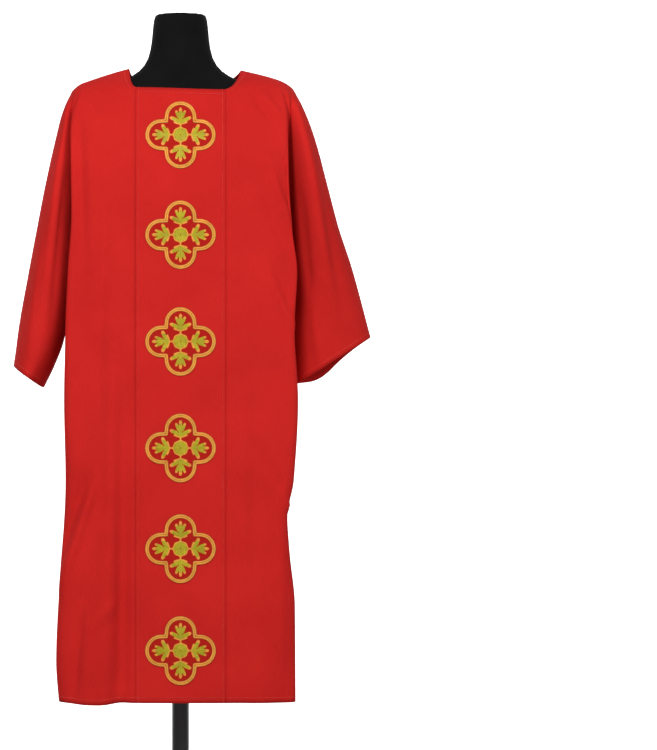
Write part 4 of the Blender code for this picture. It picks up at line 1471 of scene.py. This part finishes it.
class DALMATIC_OT_topstitching(bpy.types.Operator):
    """Sews the topstitching beside the panels' seams"""

    bl_idname = "dalmatic.topstitching"
    bl_label = "Topstitching"

    def execute(self, context):
        settings = settings_of(context)
        finish = sewing_thread(settings)
        for face in (FRONT, BACK):
            meshes = []
            for side in (LEFT, RIGHT):
                line, normals = panel_line(face, side * (PANEL_HALF_WIDTH - settings.topstitch))
                meshes.append(run_of_stitches(line, normals, SEAM_STITCH, finish))
            top = panel_heights(face)[0] - settings.hem_depth
            for height in (top, HEM_Z[face] + settings.hem_depth):
                xs = np.linspace(-PANEL_HALF_WIDTH + 0.002, PANEL_HALF_WIDTH - 0.002, 60)
                heights = height + neckline_slope(face, xs, np.full_like(xs, height))
                line, normals = on_panel(face, np.stack([xs * -face, heights], axis=1), 0.0, CLOTH)
                meshes.append(run_of_stitches(line, normals, TURNING_STITCH, finish))
            name = f"{FACE_NAMES[face]}_panel_topstitch"
            add_piece(context, name, join_meshes(name, meshes), [])
        return {"FINISHED"}


class DALMATIC_OT_form_and_stand(bpy.types.Operator):
    """Covers the dress form in jersey and coats the stand"""

    bl_idname = "dalmatic.form_and_stand"
    bl_label = "Form and Stand"

    def execute(self, context):
        jersey = jersey_material((0.0050, 0.0050, 0.0055), (0.0034, 0.0034, 0.0038))
        metal = coated_metal((0.022, 0.022, 0.024), (0.014, 0.014, 0.015))
        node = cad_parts["form_bust"]
        data = node.data.copy()
        shape = bmesh.new()
        shape.from_mesh(data)
        bmesh.ops.remove_doubles(shape, verts=shape.verts[:], dist=1e-5)
        slack = math.radians(40)
        bmesh.ops.join_triangles(
            shape, faces=shape.faces[:], angle_face_threshold=slack, angle_shape_threshold=slack
        )
        shape.to_mesh(data)
        shape.free()
        data.materials.clear()
        data.shade_smooth()
        made = add_piece(context, "form_bust_jersey", data, [jersey], ["form_bust"])
        smooth = made.modifiers.new("Round", "SUBSURF")
        smooth.levels = smooth.render_levels = 1
        for name in ("stand_pole", "stand_base"):
            finish_node(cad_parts[name], metal)
        return {"FINISHED"}


def finish_node(node, finish):
    node.data.materials.clear()
    node.data.materials.append(finish)


class DALMATIC_OT_stage(bpy.types.Operator):
    """Sets up the floor, the backdrop, the lights and the camera"""

    bl_idname = "dalmatic.stage"
    bl_label = "Stage"

    def execute(self, context):
        paper = plain_material("Pale paper", (0.93, 0.93, 0.93), 0.9, 1.0)
        boards = plain_material("Studio floor", (0.42, 0.42, 0.42), 0.9, 0.0)
        half, near, far, bend, top = 9.0, 0.55, 9.0, 1.6, 8.0
        profile = [(near, 0.0), (far - bend, 0.0)]
        for turn in np.linspace(0, math.pi / 2, 13)[1:]:
            profile.append((far - bend + bend * math.sin(turn), bend - bend * math.cos(turn)))
        profile.append((far, top))
        sweep("backdrop", profile, half, paper)
        sweep("studio_floor", [(-far, 0.0), (near, 0.0)], half, boards)
        add_lights(context)
        add_camera(context)
        return {"FINISHED"}


def sweep(name, profile, half, finish):
    """A sheet of the stage: a profile of (y, z) places carried straight across."""
    data = bpy.data.meshes.new(name)
    points = [(x, y, z) for y, z in profile for x in (-half, half)]
    faces = [(2 * i, 2 * i + 1, 2 * i + 3, 2 * i + 2) for i in range(len(profile) - 1)]
    data.from_pydata(points, [], faces)
    data.materials.append(finish)
    data.shade_smooth()
    made = bpy.data.objects.new(name, data)
    bpy.context.scene.collection.objects.link(made)


Lamp = namedtuple("Lamp", "name place aim_z size power")
LAMPS = (
    Lamp("key_light", (-0.8, -3.4, 3.1), 1.05, 1.3, 118.0),
    Lamp("fill_light", (2.6, -3.8, 2.8), 1.1, 3.0, 60.0),
    Lamp("back_light", (0.0, 3.6, 3.6), 1.0, 2.6, 18.0),
)


def add_lights(context):
    """Large soft boxes: a main one from the upper left, a weaker fill, and a faint one for the back."""
    for lamp in LAMPS:
        data = bpy.data.lights.new(lamp.name, "AREA")
        data.shape = "DISK"
        data.size = lamp.size
        data.energy = lamp.power
        made = bpy.data.objects.new(lamp.name, data)
        made.location = lamp.place
        aim = Vector((0.0, 0.0, lamp.aim_z)) - Vector(lamp.place)
        made.rotation_euler = aim.to_track_quat("-Z", "Y").to_euler()
        context.scene.collection.objects.link(made)
    world = context.scene.world or bpy.data.worlds.new("World")
    context.scene.world = world
    world.use_nodes = True
    background = world.node_tree.nodes.get("Background")
    if background is None:
        background = world.node_tree.nodes.new("ShaderNodeBackground")
        output = world.node_tree.nodes.new("ShaderNodeOutputWorld")
        world.node_tree.links.new(background.outputs[0], output.inputs["Surface"])
    background.inputs["Color"].default_value = (1.0, 1.0, 1.0, 1.0)
    background.inputs["Strength"].default_value = 0.28


def add_camera(context):
    data = bpy.data.cameras.new("camera")
    data.sensor_width = 36.0
    data.lens = 140.5
    data.shift_x = 0.1973
    camera = bpy.data.objects.new("camera", data)
    camera.location = (0.0, -6.0, 0.893)
    camera.rotation_euler = (math.pi / 2, 0.0, 0.0)
    context.scene.collection.objects.link(camera)
    context.scene.camera = camera


class DALMATIC_PT_panel(bpy.types.Panel):
    """Sizes, colours and the steps of the work"""

    bl_idname = "DALMATIC_PT_panel"
    bl_label = "Dalmatic"
    bl_space_type = "VIEW_3D"
    bl_region_type = "UI"
    bl_category = "Dalmatic"

    def draw(self, context):
        settings = settings_of(context)
        column = self.layout.column()
        for name in settings.__annotations__:
            column.prop(settings, name)
        for step in STEPS:
            column.operator(step.bl_idname)


STEPS = (
    DALMATIC_OT_side_pieces,
    DALMATIC_OT_centre_panels,
    DALMATIC_OT_quatrefoils,
    DALMATIC_OT_topstitching,
    DALMATIC_OT_form_and_stand,
    DALMATIC_OT_stage,
)
CLASSES = (DALMATIC_PG_settings, *STEPS, DALMATIC_PT_panel)


def register():
    for item in CLASSES:
        bpy.utils.register_class(item)
    bpy.types.Scene.dalmatic = bpy.props.PointerProperty(type=DALMATIC_PG_settings)


def unregister():
    del bpy.types.Scene.dalmatic
    for item in reversed(CLASSES):
        bpy.utils.unregister_class(item)


def main():
    register()
    bpy.context.scene.view_settings.view_transform = "Standard"
    bpy.ops.dalmatic.side_pieces()
    bpy.ops.dalmatic.centre_panels()
    bpy.ops.dalmatic.quatrefoils()
    bpy.ops.dalmatic.topstitching()
    bpy.ops.dalmatic.form_and_stand()
    bpy.ops.dalmatic.stage()


if __name__ == "__main__":
    main()
